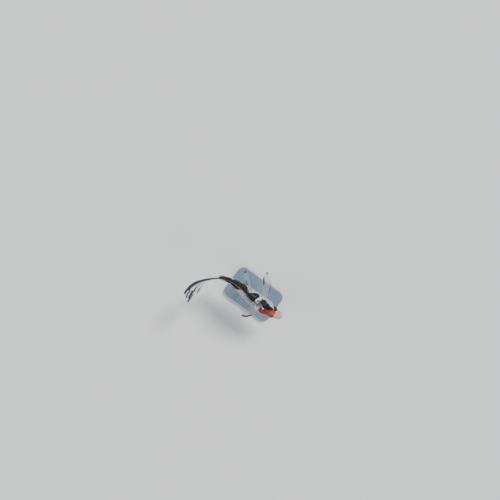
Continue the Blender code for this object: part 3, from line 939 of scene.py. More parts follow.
def map_scales(piece, row, column, on_ridge):
    """Two maps: each scale over the whole square, and its own patch at its place on the unwrapped flank."""
    count = len(row)
    across_map = 2 * ROWS + 2.5
    along_map = (max(column) + 2) / (1 - 2 * MAP_MARGIN)
    middle = np.stack(
        [
            MAP_MARGIN + (column + 0.5) / along_map,
            (np.where(on_ridge, -ROWS - 1, row) + ROWS + 1.5) / across_map,
        ],
        axis=1,
    )
    patch_size = np.array(PATCH_SIZE) / (along_map, across_map)
    whole = np.stack([np.tile(leaf["u"], count), np.tile(leaf["v"], count)], axis=1)
    own = np.repeat(middle, LEAF_POINTS, axis=0) + (whole[:, ::-1] - 0.5) * patch_size
    corner = read_all(piece.data.loops, "vertex_index", 1)[:, 0].astype(int)
    add_map(piece, "UVMap", whole[corner])
    add_map(piece, "OFBake", own[corner])
    piece.data.uv_layers.active = piece.data.uv_layers["UVMap"]


# Where the coat looks different: the middle and the spread in degrees, and the same in shares
COAT_AREAS = {
    "back": (-14, 62, 0.46, 0.20),
    "nape": (8, 44, 0.37, 0.08),
    "saddle": (46, 30, 0.565, 0.05),
    "shoulder": (34, 30, 0.43, 0.13),
}
FROM_MIDDLE = 0.3  # share of a scale's marking that it takes from its own middle
MIDDLE_BEHIND = 0.10  # share of a scale's length that its middle lies behind its seat
TUCK_WIDTH = 0.0013  # how far the shade reaches where the coat tucks under the gill cover
# How dark the net of a scale is: plain, more on the back, and dark or pale where the coat is speckled
NET_PLAIN, NET_BACK, NET_VARIES = 0.24, 0.50, 0.34
SPECKLE_SHARE, SPECKLE_DARK, SPECKLE_PALE = 0.64, 1.15, 0.10
SILVER_GLINT_SHARE = {"plain": 0.03, "shoulder": 0.16, "speckled": 0.30}  # of the scales there


def lay_scales(name, side, chance):
    """One side's scales as a joined mesh."""
    share, row, column, on_ridge = scale_seats(side)
    count = len(share)
    size = row_height(share) / ROW_HEIGHT
    jitter = chance.normal(0, 1, (count, 3))
    length = SCALE_PITCH * SCALE_LENGTH * size * (1 + LENGTH_VARIES * jitter[:, 0])
    width = ROW_HEIGHT * SCALE_HALF_WIDTH * size * (1 + WIDTH_VARIES * jitter[:, 1])
    at_share = (share[:, None] + leaf["along"] * length[:, None] / LENGTH).ravel()
    row_arc = lateral_arc(at_share) + per_point(row) * row_height(at_share)
    row_arc = np.where(per_point(on_ridge), 0.0, row_arc)
    arc = row_arc + (leaf["across"] * width[:, None]).ravel()
    turned = side * degrees_at(at_share, arc)
    lift = (leaf["lift"] * size[:, None] + LIFT_VARIES * jitter[:, 2:]).ravel() - COAT_DEPTH
    lift += RIDGE_LIFT * per_point(on_ridge)
    points = body_point(at_share, turned, lift)

    faces = []
    for shape in leaf_faces():
        copies = shape + (np.arange(count) * LEAF_POINTS)[:, None, None]
        faces += copies.reshape(-1, shape.shape[1]).tolist()
    mesh = bpy.data.meshes.new(name)
    mesh.from_pydata(points.tolist(), [], faces)
    piece = bpy.data.objects.new(name, mesh)
    bpy.context.scene.collection.objects.link(piece)
    edit(piece, lambda: bpy.ops.mesh.normals_make_consistent(inside=False))
    mesh.shade_smooth()

    # A scale takes part of its marking from its own middle, so that patches tend to end along scales
    seat_arc = np.where(on_ridge, 0.0, lateral_arc(share) + row * row_height(share))
    middle = side * degrees_at(share + MIDDLE_BEHIND * length / LENGTH, seat_arc)
    turned = np.where(np.abs(turned) > 180, turned - np.sign(turned) * 360, turned)
    mark(
        piece,
        FROM_MIDDLE * per_point(share) + (1 - FROM_MIDDLE) * at_share,
        FROM_MIDDLE * per_point(middle) + (1 - FROM_MIDDLE) * turned,
    )

    area = {
        word: mound(middle - at_degrees, spread) * mound(share - at, span)
        for word, (at_degrees, spread, at, span) in COAT_AREAS.items()
    }
    speckled = np.maximum(area["nape"], 0.75 * area["saddle"])
    tone = chance.random(count)
    net = NET_PLAIN + area["back"] * (NET_BACK + NET_VARIES * chance.random(count))
    net += speckled * np.where(chance.random(count) < SPECKLE_SHARE, SPECKLE_DARK, SPECKLE_PALE)
    # Silver scales: a little metallic, and painted near white as glints, most on the shoulder and in the
    # speckled coat
    silver_glint_share = SILVER_GLINT_SHARE["plain"] + SILVER_GLINT_SHARE["shoulder"] * area["shoulder"]
    silver_glints = chance.random(count) < silver_glint_share + SILVER_GLINT_SHARE["speckled"] * speckled
    glint = silver_glints * (net < 1.0) * (0.5 + 0.5 * chance.random(count))
    numbers(piece, "tone", per_point(tone))
    numbers(piece, "net", per_point(net))
    numbers(piece, "glint", per_point(glint))
    numbers(piece, "pore", per_point((row == 0) & ~on_ridge).astype(float))
    numbers(piece, "tuck", mound((at_share - gill_line(turned)) * LENGTH, TUCK_WIDTH))
    map_scales(piece, row, column, on_ridge)
    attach(piece, "root")
    return piece


SCALE_GREY, SCALE_WHITE = (0.52, 0.525, 0.53, 1), (0.68, 0.675, 0.665, 1)
NET_DARK, NET_BLUE = (0.055, 0.066, 0.095, 1), (0.045, 0.060, 0.090, 1)
RIM_WHITE, RIM_BLUE = (0.76, 0.76, 0.77, 1), (0.06, 0.07, 0.10, 1)
# the near white of the glint painted on silver scales
SCALE_GLINT_WHITE = (0.86, 0.88, 0.92, 1)
TUCK_SHADE = (0.16, 0.09, 0.085, 1)
PORE_GREY = (0.20, 0.20, 0.21, 1)
RIBS, GROWTH_RINGS = 95.0, 120.0  # radians of their waves across a scale and along it

# A scale's map has v 0 at its buried front end and v 1 at its rear edge, and u 0.5 along its middle
scale_material, tree, shader = new_material("koi_scales")
leaf_map = node(tree, "ShaderNodeUVMap", uv_map="UVMap").outputs[0]
leaf_u, leaf_v, _ = node(tree, "ShaderNodeSeparateXYZ", {0: leaf_map}).outputs
sideways = maths("SUBTRACT", leaf_u, 0.5)
from_middle = maths("ABSOLUTE", sideways)
rim_light = ramp(leaf_v, 0.78, 0.97)
tone, net, glint = (number_of(tree, word) for word in ("tone", "net", "glint"))
net_share = maths("MINIMUM", maths("MULTIPLY_ADD", net, 0.45, 0.50), 0.98)
ground = painted(
    tint(tone, SCALE_GREY, SCALE_WHITE),
    (ramp(net, 0.0, 1.7, 0.05, 0.96), NET_DARK),
    (times(ramp(leaf_v, 0.80, 0.50), net_share), NET_BLUE),
    (times(rim_light, ramp(net, 0.3, 1.3, 0.45, 0.05)), RIM_WHITE),
    # a painted glint: silver scales are painted near white towards their rear edge
    (times(glint, ramp(leaf_v, 0.52, 0.66), 0.85), SCALE_GLINT_WHITE),
    # painted shade where the coat tucks under the gill cover
    (times(number_of(tree, "tuck"), 0.85), TUCK_SHADE),
)
coat = node(tree, "ShaderNodeGroup", {"Ground": ground, "Edge": 0.26}, node_tree=marking_tree)
black = coat.outputs["Black"]
white = maths("SUBTRACT", 1.0, black)
pore = times(number_of(tree, "pore"), ramp(from_middle, 0.075, 0.035))
pore = times(pore, ramp(leaf_v, 0.60, 0.66), ramp(leaf_v, 0.90, 0.84))
# Fine ribs that spread from the buried middle of the scale to its rim, across rings of growth
rib_angle = maths("ARCTAN2", sideways, maths("ADD", leaf_v, 0.1))
ribs = maths("SINE", times(rib_angle, RIBS))
growth = maths("SINE", times(maths("ADD", leaf_v, times(from_middle, from_middle, 1.2)), GROWTH_RINGS))
relief = maths("ADD", times(ribs, 0.5), times(growth, 0.25))
relief = maths("ADD", relief, times(pore, 3.0))
roughness = maths("MULTIPLY_ADD", glint, -0.06, ramp(tone, 0.0, 1.0, 0.22, 0.32))
feed(
    shader,
    Base_Color=painted(
        coat.outputs["Color"],
        (times(pore, ramp(black, 0.0, 1.0, 0.55, 0.12)), PORE_GREY),
        (times(rim_light, black, 0.20), RIM_BLUE),
    ),
    Metallic=times(glint, white, 0.25),
    Roughness=maths("MULTIPLY_ADD", black, 0.18, roughness),
    Normal=bumps(relief, 0.30, 0.00003),
    Coat_Weight=times(maths("MULTIPLY_ADD", white, 0.16, 0.04), ramp(net, 1.2, 0.4, 0.3, 1.0)),
    Coat_Roughness=0.06,
    Specular_IOR_Level=0.16,
)
chance = np.random.default_rng(36)
for side, word in SIDES:
    put_on(lay_scales("scales_" + word, side, chance), scale_material)

# ---------------------------------------------------------------- eyes
# A flat-fronted eyeball with a dark round pupil and a narrow gold and silver iris, under a clear domed
# cornea. It has no lids, and about a quarter of it stands out of its socket.

PUPIL_ANGLE, IRIS_ANGLE = 33, 66  # degrees from the eye's own axis
CORNEA_ANGLE, CORNEA_WALL = IRIS_ANGLE + 3, 0.00007
EYE_FLATTEN = 0.88
UNDER_CORNEA, BEYOND_CORNEA = 0.955, 0.975  # the ball's radius there, as shares of the eye's
LENS_BULGE, IRIS_GROOVE = 0.00016, 0.00016  # over the pupil, and round its edge
GAZE_UP = 6  # degrees round the body by which the eye looks higher than where it sits
GAZE_OUT = 0.004  # metres outside the body to the point that it looks towards


def eye_frame(side):
    """An eye's middle, its outward axis, and two directions across it."""
    centre = body_point(EYE_PLACE[0], side * EYE_PLACE[1], -EYE_DEPTH)
    outward = unit(body_point(EYE_PLACE[0], side * (EYE_PLACE[1] - GAZE_UP), GAZE_OUT) - centre)
    across = unit(np.cross(UP, outward))
    return centre, outward, across, np.cross(outward, across)


def turned_round(side, angle, radius, height):
    """Points on circles round the eye's axis, at a radius from it and a height along it."""
    centre, outward, across, over = eye_frame(side)
    angle = math.tau * angle
    ring = across * np.cos(angle)[:, None] + over * np.sin(angle)[:, None]
    return centre + ring * radius[:, None] + outward * height[:, None] * EYE_FLATTEN


def eyeball_place(side):
    """From the middle of the pupil, where the lens bulges, over the iris, round the back of the ball."""

    def place(x, y):
        away = 180 * x**1.25
        turn = np.radians(away)
        beyond = step_up(IRIS_ANGLE - 8, IRIS_ANGLE, away)
        inner = EYE_RADIUS * (UNDER_CORNEA + (BEYOND_CORNEA - UNDER_CORNEA) * beyond)
        sunk = ridge(away, PUPIL_ANGLE, 5.0, IRIS_GROOVE)
        lens = LENS_BULGE * np.sqrt(np.clip(1 - (away / (PUPIL_ANGLE - 2.0)) ** 2, 0, 1))
        radius = (inner - sunk) * np.sin(turn)
        height = (inner - sunk) * np.cos(turn) + lens
        _, _, across, over = eye_frame(side)
        upward = over[2] * np.sin(math.tau * y) + across[2] * np.cos(math.tau * y)
        return turned_round(side, y, radius, height), {"away": away, "turn": y * 360, "upward": upward}

    return place


def cornea_place(side):
    """A clear skin over pupil and iris, out over the top and back underneath. Its wall closes at the edge."""

    def place(x, y):
        outer = x < 0.5
        edge = np.where(outer, x, 1 - x) * 2
        turn = np.radians(edge * CORNEA_ANGLE)
        wall = np.where(outer, 0.0, CORNEA_WALL * (1 - edge**4))
        bulge = EYE_RADIUS * (1.0 - 0.012 * edge**2) - wall
        return turned_round(side, y, bulge * np.sin(turn), bulge * np.cos(turn)), {}

    return place


IRIS_GOLD, IRIS_BROWN = (0.30, 0.235, 0.15, 1), (0.04, 0.033, 0.03, 1)
IRIS_SHADOW = (0.018, 0.018, 0.022, 1)
PUPIL_GOLD = (0.50, 0.33, 0.12, 1)
PUPIL_BLACK = (0.003, 0.003, 0.004, 1)
EYE_BLACK = (0.014, 0.014, 0.018, 1)

iris_material, tree, shader = new_material("eye_iris")
away = number_of(tree, "away")
spread = {0: times(number_of(tree, "turn"), 0.12), 1: times(away, 0.04)}
spread = node(tree, "ShaderNodeCombineXYZ", spread).outputs[0]
radial = node(tree, "ShaderNodeTexNoise", {"Vector": spread, "Scale": 1.6, "Detail": 4.0}).outputs["Fac"]
iris = painted(
    tint(ramp(radial, 0.35, 0.68), IRIS_GOLD, IRIS_BROWN),
    (ramp(number_of(tree, "upward"), -0.45, 0.35, 0.0, 0.94), IRIS_SHADOW),
    (ramp(away, PUPIL_ANGLE + 6.0, PUPIL_ANGLE + 1.5, 0.0, 0.85), PUPIL_GOLD),
    (ramp(away, PUPIL_ANGLE + 1.2, PUPIL_ANGLE - 0.6), PUPIL_BLACK),
    (ramp(away, IRIS_ANGLE - 14.0, IRIS_ANGLE - 2.0), EYE_BLACK),
)
silver = times(
    ramp(away, PUPIL_ANGLE + 0.5, PUPIL_ANGLE + 2.5), ramp(away, IRIS_ANGLE - 4.0, IRIS_ANGLE - 14.0), 0.25
)
feed(
    shader,
    Base_Color=iris,
    Metallic=silver,
    Roughness=ramp(radial, 0.2, 0.8, 0.22, 0.42),
    Specular_IOR_Level=0.10,
)
cornea_material, tree, shader = new_material("eye_cornea")
feed(
    shader,
    Base_Color=(0.97, 0.98, 1.0, 1),
    Roughness=ramp(noise(tree, 900.0), 0.3, 0.7, 0.005, 0.03),
    Transmission_Weight=1.0,
    IOR=1.34,
)

for side, word in SIDES:
    eyeball = shaped_grid("eyeball_" + word, 72, 64, eyeball_place(side))
    put_on(eyeball, iris_material)
    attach(eyeball, "root")
    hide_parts("eye_" + word)
    cornea = shaped_grid("cornea_" + word, 48, 48, cornea_place(side))
    put_on(cornea, cornea_material)
    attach(cornea, "root")

# ---------------------------------------------------------------- fins
# Each fin is a thin clear skin stretched over soft bony rays, which spring from the body, fork towards
# the edge and end in points, with the web cut in between them. The ray along the leading edge is stout.

ROOT_DEPTH = 0.0015  # how far a fin starts inside the body
FIN_ROWS = 16  # points round both sides of a fin for each ray
# Each fork of a ray: from and to where along it its branches part, and how far in ray spacings
FORKS = ((0.34, 0.72, 0.23), (0.66, 0.98, 0.105))
# In ray spacings: half a ray's width at its root and how much of that it loses, half its point's width at
# the edge, and half the stout leading ray's width and how far in from the fin's edge its middle lies
RAY_WIDTH, RAY_THINNING = 0.20, 0.135
POINT_WIDTH = 0.16
LEAD_WIDTH, LEAD_INSET = 0.55, 0.3
LEAD_HEIGHT, LEAD_SINKING = 1.6, 0.9  # the leading ray's height beside the others', and what it loses
WEB_HALF = 0.000035  # half the thickness of the web between the rays
RAY_HALF, RAY_SINKING = 0.000186, 0.72  # a ray's height over the web at its root, and how much of it goes
# The stout edge: half its width in ray spacings, how many of those its middle lies in from the fin's edge,
# and how much of its height goes towards its end
EDGE_WIDTH, EDGE_INSET, EDGE_SINKING = 0.8, 0.35, 0.82
EDGE_CUT = 0.035  # share of a fin's length by which the web is cut back between the tips
RIPPLE = 0.00025  # metres by which the web's edge ripples to both sides, about
FLESH_SPAN = (0.0, 0.05, 0.05, 0.36)  # shares of a ray over which its fleshy root swells and dies away


def ray_pattern(x, y, rays, stout):
    """How much ray each place holds, from 0 for web to 1 and more for the stout ray, and how near it is
    to the line of a ray's tip. Rays run from x 0 to 1, lie side by side along y, and fork twice."""
    amount = np.zeros(len(x))
    tips = np.zeros(len(x))
    spacing = 1.0 / rays
    first, second = (step_up(start, end, x) * spacing * apart for start, end, apart in FORKS)
    width = spacing * (RAY_WIDTH - RAY_THINNING * x)
    for ray in range(rays):
        for way in (-1, 1):
            for turn in (-1, 1):
                distance = np.abs(y - (ray + 0.5) * spacing - way * first - turn * second)
                amount = np.maximum(amount, mound(distance, width))
                tips = np.maximum(tips, mound(distance, spacing * POINT_WIDTH))
    lead_middle = 1 - LEAD_INSET / rays if stout > 0 else LEAD_INSET / rays
    lead = np.clip(1 - np.abs(y - lead_middle) * rays / LEAD_WIDTH, 0, 1)
    amount = np.maximum(amount, np.sqrt(lead) * (LEAD_HEIGHT - LEAD_SINKING * x))
    return amount, tips


def fin_place(sheet, rays, stout, edge, flesh, seed):
    """Places for a grid that wraps both sides of a fin's middle sheet, which is a function of x along
    the rays and y across them, both from 0 to 1."""

    def place(x, v):
        y = 1 - np.abs(2 * v - 1)
        side = np.where(np.minimum(y, 1 - y) < 1e-6, 0.0, np.sign(0.5 - v))
        amount, tips = ray_pattern(x, y, rays, stout)
        # The edge is cut back between the rays' tips, and is a little ragged
        ragged = 0.5 + 0.5 * np.sin(y * 37.0 + seed) * np.sin(y * 61.0 + 2 * seed)
        at = x * (1 - EDGE_CUT * (1 - tips) * x**4 - 0.6 * EDGE_CUT * ragged * x**4)
        small = 1e-3
        run = sheet(np.minimum(at + small, 1.0), y) - sheet(np.maximum(at - small, 0.0), y)
        span = sheet(at, np.minimum(y + small, 1.0)) - sheet(at, np.maximum(y - small, 0.0))
        normal = unit(np.cross(run, span))
        # The web hangs in shallow ripples, and each ray and the stout edge make it thicker
        ripple = np.sin(y * math.pi * rays * 0.55 + seed) + 0.6 * np.sin(x * 9.0 + y * 14.0 + seed)
        points = sheet(at, y) + normal * (RIPPLE * x**2 * ripple)[:, None]
        half = WEB_HALF + RAY_HALF * (1 - RAY_SINKING * x) * np.clip(amount, 0, LEAD_HEIGHT)
        from_edge = (1 - y if stout > 0 else y) * rays
        edge_round = np.sqrt(np.clip(1 - (from_edge / EDGE_WIDTH - EDGE_INSET) ** 2, 0, 1))
        half += edge * (1 - EDGE_SINKING * x) * edge_round
        half += flesh * band(*FLESH_SPAN, x) * (1 - 0.75 * y) * (y > 1e-6)
        half = np.where((x > 1 - 1e-6) | (x < 1e-6), 0.0, half)
        points = points + normal * (side * half)[:, None]
        return points, {"ray": amount, "reach": x, "across": y}

    return place


def paired_sheet(side, roots, outline, fan, reach, sweep, droop, pitch, bow):
    """The middle of a pectoral or pelvic fin, as in the solid: rays that fan out round a line swept back
    and drooping."""
    _, forward, left = axis_frame(roots[0][0])
    sweep, droop, pitch = (math.radians(value) for value in (sweep, droop, pitch))
    flat = left * side * math.cos(sweep) - forward * math.sin(sweep)
    line = flat * math.cos(droop) - UP * math.sin(droop)
    back = -forward * math.cos(sweep) - left * side * math.sin(sweep)
    chord = back * math.cos(pitch) - UP * math.sin(pitch)
    chord = unit(chord - line * chord.dot(line))
    bend = unit(np.cross(line, chord))
    bend = bend * (1 if bend[2] > 0 else -1)

    def sheet(x, y):
        share = roots[0][0] + (roots[1][0] - roots[0][0]) * y
        degrees = roots[0][1] + (roots[1][1] - roots[0][1]) * y
        root = body_point(share, side * degrees, -ROOT_DEPTH)
        turn = np.radians(fan * (2 * y - 1))[:, None]
        ray = line * np.cos(turn) + chord * np.sin(turn)
        length = reach * LENGTH * curve_value(outline, y)
        outward = chord * (bow * (1.3 * y - 1) * np.sin(math.pi * x))[:, None]
        return root + (ray * x[:, None] + outward + bend * (0.12 * x * x)[:, None]) * length[:, None]

    return sheet


def midline_sheet(start, end, outline, angles, lean, ridge, drag):
    """The middle of the dorsal or the anal fin, which stands on a ridge and follows the body's bend."""
    way = 1 if ridge == 0 else -1

    def sheet(x, y):
        share = start + (end - start) * y
        raised = np.radians(curve_value(angles, y))
        travel = curve_value(outline, y) * x
        root = body_point(share, ridge, -ROOT_DEPTH)
        behind, _, left = axis_frame(share + travel * np.cos(raised))
        points = behind.copy()
        if ridge == 0:
            height = travel * (np.sin(raised) - drag * x) * LENGTH
            sideways = lean * height
        else:
            height = travel * np.sin(raised) * (1 - drag * x) * LENGTH
            sideways = lean * travel * x * LENGTH
        points[:, 2] = root[:, 2] + way * height
        return points + left * sideways[:, None]

    return sheet


TAIL_ROOT = 0.975  # share of the length where the tail fin's rays start, inside the stalk
BEND_LAG = 0.06  # how much further on the topmost ray bends round than the middle one
LOBE_GAP = 0.0003  # between the two lobes
LOBE_ROOT = 0.050  # share of the length that a lobe's root is high
LOBE_LEVEL = 3  # degrees by which its lowest ray rises
LOBE_CURL = 0.28  # share of a ray's rise that is lost towards its end
TAIL_STEPS = 62  # hundredths of the length that the rays may run
TAIL_FLESH = 0.0013  # half the thickness of the fleshy root of the tail's rays


def lobe_sheet(side, reach, lean, spread):
    """The middle of half the tail fin. Its rays start down the end of the stalk and fan out up or down."""
    start = axis_frame(TAIL_ROOT)[0]
    travels = (np.arange(TAIL_STEPS) + 0.5) / 100

    def sheet(x, y):
        points = np.empty((len(x), 3))
        left = np.empty((len(x), 3))
        slope = np.radians(LOBE_LEVEL + (spread - LOBE_LEVEL) * y)
        travel = curve_value(reach, y) * x
        steps = travel * np.cos(slope) * 100
        for height in np.unique(y):
            chosen = y == height
            lag = BEND_LAG * side * height * np.minimum(travels / 0.15, 1.0)
            heading = np.radians(curve_value(HEADINGS, TAIL_ROOT + travels - lag))
            course = start + np.concatenate(
                [np.zeros((1, 3)), -np.cumsum(flat_direction(heading), axis=0) * LENGTH / 100]
            )
            for k in range(3):
                points[chosen, k] = np.interp(steps[chosen], np.arange(TAIL_STEPS + 1), course[:, k])
            here = np.interp(steps[chosen], travels * 100, heading)
            left[chosen] = flat_direction(here + math.pi / 2)
        points = points + left * (curve_value(lean, y) * x * LENGTH)[:, None]
        base = PROFILE[-1][2] * LENGTH + side * (0.5 * LOBE_GAP + y * LOBE_ROOT * LENGTH)
        climb = travel * np.sin(slope) * (1 - LOBE_CURL * x) * LENGTH
        points[:, 2] = AXIS_HEIGHT + base + side * climb
        return points

    return sheet


def streak(x, y, at, first_width, last_width, start, end):
    """How black a place is from one dark streak, which runs along the rays at y from x start to x end."""
    width = first_width + (last_width - first_width) * np.clip((x - start) / (end - start), 0, 1)
    return mound(y - at, width) * band(start - 0.05, start + 0.05, end - 0.04, end + 0.04, x)


PECTORAL = {
    "roots": ((0.316, 112), (0.350, 130)),
    "outline": ((0, 0.86), (0.3, 1.0), (0.65, 0.90), (1, 0.62)),
    "fan": 7,
}
PELVIC = {
    "roots": ((0.505, 150), (0.535, 163)),
    "outline": ((0, 0.88), (0.3, 1.0), (0.65, 0.90), (1, 0.66)),
    "fan": 5,
}
FIN_SHEETS = {
    "pectoral_fin_left": paired_sheet(1, **PECTORAL, reach=0.355, sweep=28, droop=10, pitch=38, bow=0.16),
    "pectoral_fin_right": paired_sheet(-1, **PECTORAL, reach=0.300, sweep=21, droop=42, pitch=40, bow=0.12),
    "pelvic_fin_left": paired_sheet(1, **PELVIC, reach=0.300, sweep=54, droop=20, pitch=42, bow=0.07),
    "pelvic_fin_right": paired_sheet(-1, **PELVIC, reach=0.300, sweep=80, droop=22, pitch=42, bow=0.05),
    "dorsal_fin": midline_sheet(
        0.435, 0.790,
        ((0, 0.118), (0.08, 0.150), (0.25, 0.128), (0.6, 0.110), (0.85, 0.130), (1, 0.165)),
        ((0, 52), (0.3, 40), (0.7, 28), (1, 16)), -0.05, 0, 0.10,
    ),
    "anal_fin": midline_sheet(
        0.755, 0.835, ((0, 0.20), (0.15, 0.26), (0.5, 0.235), (1, 0.18)), ((0, 38), (1, 24)), 0.10, 180, 0.2
    ),
    "tail_fin_upper": lobe_sheet(
        1,
        ((0, 0.44), (0.25, 0.55), (0.45, 0.60), (0.75, 0.57), (1, 0.535)),
        ((0, -0.045), (0.45, -0.045), (1, 0.02)), 20,
    ),
    "tail_fin_lower": lobe_sheet(
        -1, ((0, 0.42), (0.3, 0.44), (0.7, 0.50), (1, 0.47)), ((0, 0.0), (1, -0.02)), 34
    ),
}
# Each fin's number of rays, its stout edge (-1 for y 0 and 1 for y 1) and half how much thicker that is in
# metres, the columns of its grid, and how rusty it is
FIN_MAKES = {
    "pectoral_fin_left": (15, -1, 0.00012, 84, 0.10),
    "pectoral_fin_right": (15, -1, 0.00012, 84, 0.10),
    "pelvic_fin_left": (9, -1, 0.00010, 64, 0.10),
    "pelvic_fin_right": (9, -1, 0.00010, 64, 0.10),
    "dorsal_fin": (20, -1, 0.00012, 36, 0.75),
    "anal_fin": (7, -1, 0.00008, 60, 0.10),
    "tail_fin_upper": (10, 1, 0.00075, 150, 0.45),
    "tail_fin_lower": (10, 1, 0.00030, 130, 0.45),
}
# Each fin's dark streaks: (y, half width at its start and at its end, x of its start and of its end)
FIN_STREAKS = {
    "pectoral_fin_left": (
        (0.0, 0.10, 0.08, 0.22, 0.86), (0.74, 0.075, 0.075, 0.58, 0.93), (0.27, 0.16, 0.16, 0.93, 1.1),
    ),
    "pectoral_fin_right": ((0.0, 0.16, 0.50, 0.44, 1.1), (0.16, 0.16, 0.40, 0.76, 1.1)),
    "pelvic_fin_left": (
        (0.4, 0.2, 0.25, 0.92, 1.1), (0.90, 0.09, 0.09, 0.40, 0.80), (0.0, 0.07, 0.05, 0.2, 0.7),
    ),
    "pelvic_fin_right": ((0.0, 0.12, 0.20, 0.50, 1.1), (0.3, 0.2, 0.2, 0.90, 1.1)),
    "dorsal_fin": ((0.12, 0.20, 0.24, -0.2, 1.3), (0.52, 0.08, 0.14, 0.5, 0.9), (0.86, 0.10, 0.14, 0.3, 0.9)),
    "anal_fin": ((0.35, 0.3, 0.3, 0.82, 1.1), (0.0, 0.20, 0.30, 0.50, 1.1)),
    "tail_fin_upper": (
        (1.0, 0.85, 0.24, -0.2, 0.84), (1.0, 0.20, 0.12, 0.70, 1.1), (0.73, 0.06, 0.07, 0.74, 0.98),
        (0.47, 0.13, 0.11, 0.70, 0.92), (0.33, 0.07, 0.09, 0.60, 0.86), (0.20, 0.06, 0.075, 0.50, 0.80),
        (0.28, 0.24, 0.22, 0.90, 1.1),
    ),
    "tail_fin_lower": ((1.0, 0.09, 0.13, 0.60, 1.1), (0.80, 0.06, 0.08, 0.80, 1.1)),
}

WEB_PALE, WEB_BLUE = (0.50, 0.53, 0.61, 1), (0.42, 0.46, 0.56, 1)
RAY_BONE = (0.52, 0.49, 0.46, 1)
ROOT_PINK = (0.72, 0.50, 0.44, 1)
RAY_RUST = (0.40, 0.22, 0.18, 1)
STREAK_BLACK = (0.012, 0.014, 0.026, 1)

fin_material, tree, shader = new_material("fin_web")
ray = ramp(number_of(tree, "ray"), 0.15, 0.85)
reach, dark = number_of(tree, "reach"), number_of(tree, "dark")
broken = maths("MULTIPLY_ADD", maths("SUBTRACT", noise(tree, 600.0, 4.0), 0.5), 0.5, dark)
streaked = times(ramp(broken, 0.30, 0.58), ramp(dark, 0.02, 0.12))
web = painted(
    tint(ramp(noise(tree, 350.0), 0.3, 0.7), WEB_PALE, WEB_BLUE),
    (ray, RAY_BONE),
    (ramp(reach, 0.16, 0.0, 0.0, 0.6), ROOT_PINK),
    (number_of(tree, "warm"), RAY_RUST),
    (streaked, STREAK_BLACK),
)
# The web is clear, and rays, roots, streaks and flesh each make it denser
body = maths("MULTIPLY_ADD", ray, 0.26, 0.10)
body = maths("ADD", body, ramp(reach, 0.50, 0.0, 0.0, 0.42))
body = maths("MULTIPLY_ADD", streaked, 0.80, body)
body = maths("MULTIPLY_ADD", number_of(tree, "flesh"), 0.45, body)
joints = times(maths("SINE", times(reach, 420.0)), ray)
feed(
    shader,
    Base_Color=web,
    Alpha=maths("MINIMUM", body, 1.0),
    Roughness=ramp(noise(tree, 700.0), 0.2, 0.8, 0.24, 0.38),
    Normal=bumps(maths("MULTIPLY_ADD", joints, 0.4, noise(tree, 2600.0)), 0.25, 0.00005),
    Coat_Weight=maths("MULTIPLY_ADD", streaked, -0.22, 0.25),
    Coat_Roughness=0.1,
    Specular_IOR_Level=0.3,
)
for turn, (name, sheet) in enumerate(FIN_SHEETS.items()):
    rays, stout, edge, columns, warmth = FIN_MAKES[name]
    in_tail = name.startswith("tail")
    place = fin_place(sheet, rays, stout, edge, TAIL_FLESH * in_tail, seed=1.7 * turn)
    fin = shaped_grid(name + "_web", columns, FIN_ROWS * rays, place)
    reach, across = read_numbers(fin, "reach"), read_numbers(fin, "across")
    numbers(fin, "dark", np.max([streak(reach, across, *shape) for shape in FIN_STREAKS[name]], axis=0))
    fading = np.ones(len(reach)) if name == "dorsal_fin" else (1 - reach) ** 0.7
    numbers(fin, "warm", warmth * fading)
    numbers(fin, "flesh", in_tail * (1 - step_up(0.10, 0.42, reach)))
    put_on(fin, fin_material)
    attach(fin, "root")
    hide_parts(name)

# ---------------------------------------------------------------- stand
# A flat base of slate-blue lacquered board with round corners, and two turned steel rods screwed into it,
# each with a round foot and a small cup under the belly.

base_low, base_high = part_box("stand_base")
BASE_CORNER, BASE_EDGE = 0.012, 0.0012
base = add("stand_board", bpy.ops.mesh.primitive_cube_add, size=1.0, location=(base_low + base_high) / 2)
base.scale = base_high - base_low
bpy.ops.object.transform_apply(location=True, rotation=False, scale=True)
bpy.ops.object.mode_set(mode="EDIT")
bpy.ops.mesh.select_mode(type="EDGE")
bpy.ops.mesh.select_all(action="DESELECT")
bpy.ops.object.mode_set(mode="OBJECT")
# The board's four upright edges are rounded first, and then the edges of its top and underside softened
for edge in base.data.edges:
    ends = [base.data.vertices[index].co for index in edge.vertices]
    edge.select = abs(ends[0].z - ends[1].z) > 0.001
bpy.ops.object.mode_set(mode="EDIT")
bpy.ops.mesh.bevel(offset=BASE_CORNER, offset_type="OFFSET", segments=20, profile=0.5)
bpy.ops.mesh.select_mode(type="VERT")
bpy.ops.object.mode_set(mode="OBJECT")
softened = base.modifiers.new("soft_edge", "BEVEL")
softened.width = BASE_EDGE
softened.segments = 5
softened.limit_method = "ANGLE"
softened.angle_limit = math.radians(60)
bpy.ops.object.modifier_apply(modifier="soft_edge")
bpy.ops.object.shade_smooth_by_angle(angle=math.radians(35))

wear_tree, wear_in, wear_out = new_group(
    "handling_wear",
    [("Scale", FLOAT, 900.0), ("Amount", FLOAT, 0.3)],
    [("Dull", FLOAT), ("Height", FLOAT)],
)
scuffs = noise(wear_tree, 60.0, 5.0, 0.7)
fine = noise(wear_tree, wear_in.outputs["Scale"], 3.0, 0.6)
dull = times(ramp(scuffs, 0.45, 0.72), wear_in.outputs["Amount"])
feed(wear_out, Dull=maths("ADD", dull, times(fine, 0.08)), Height=fine)

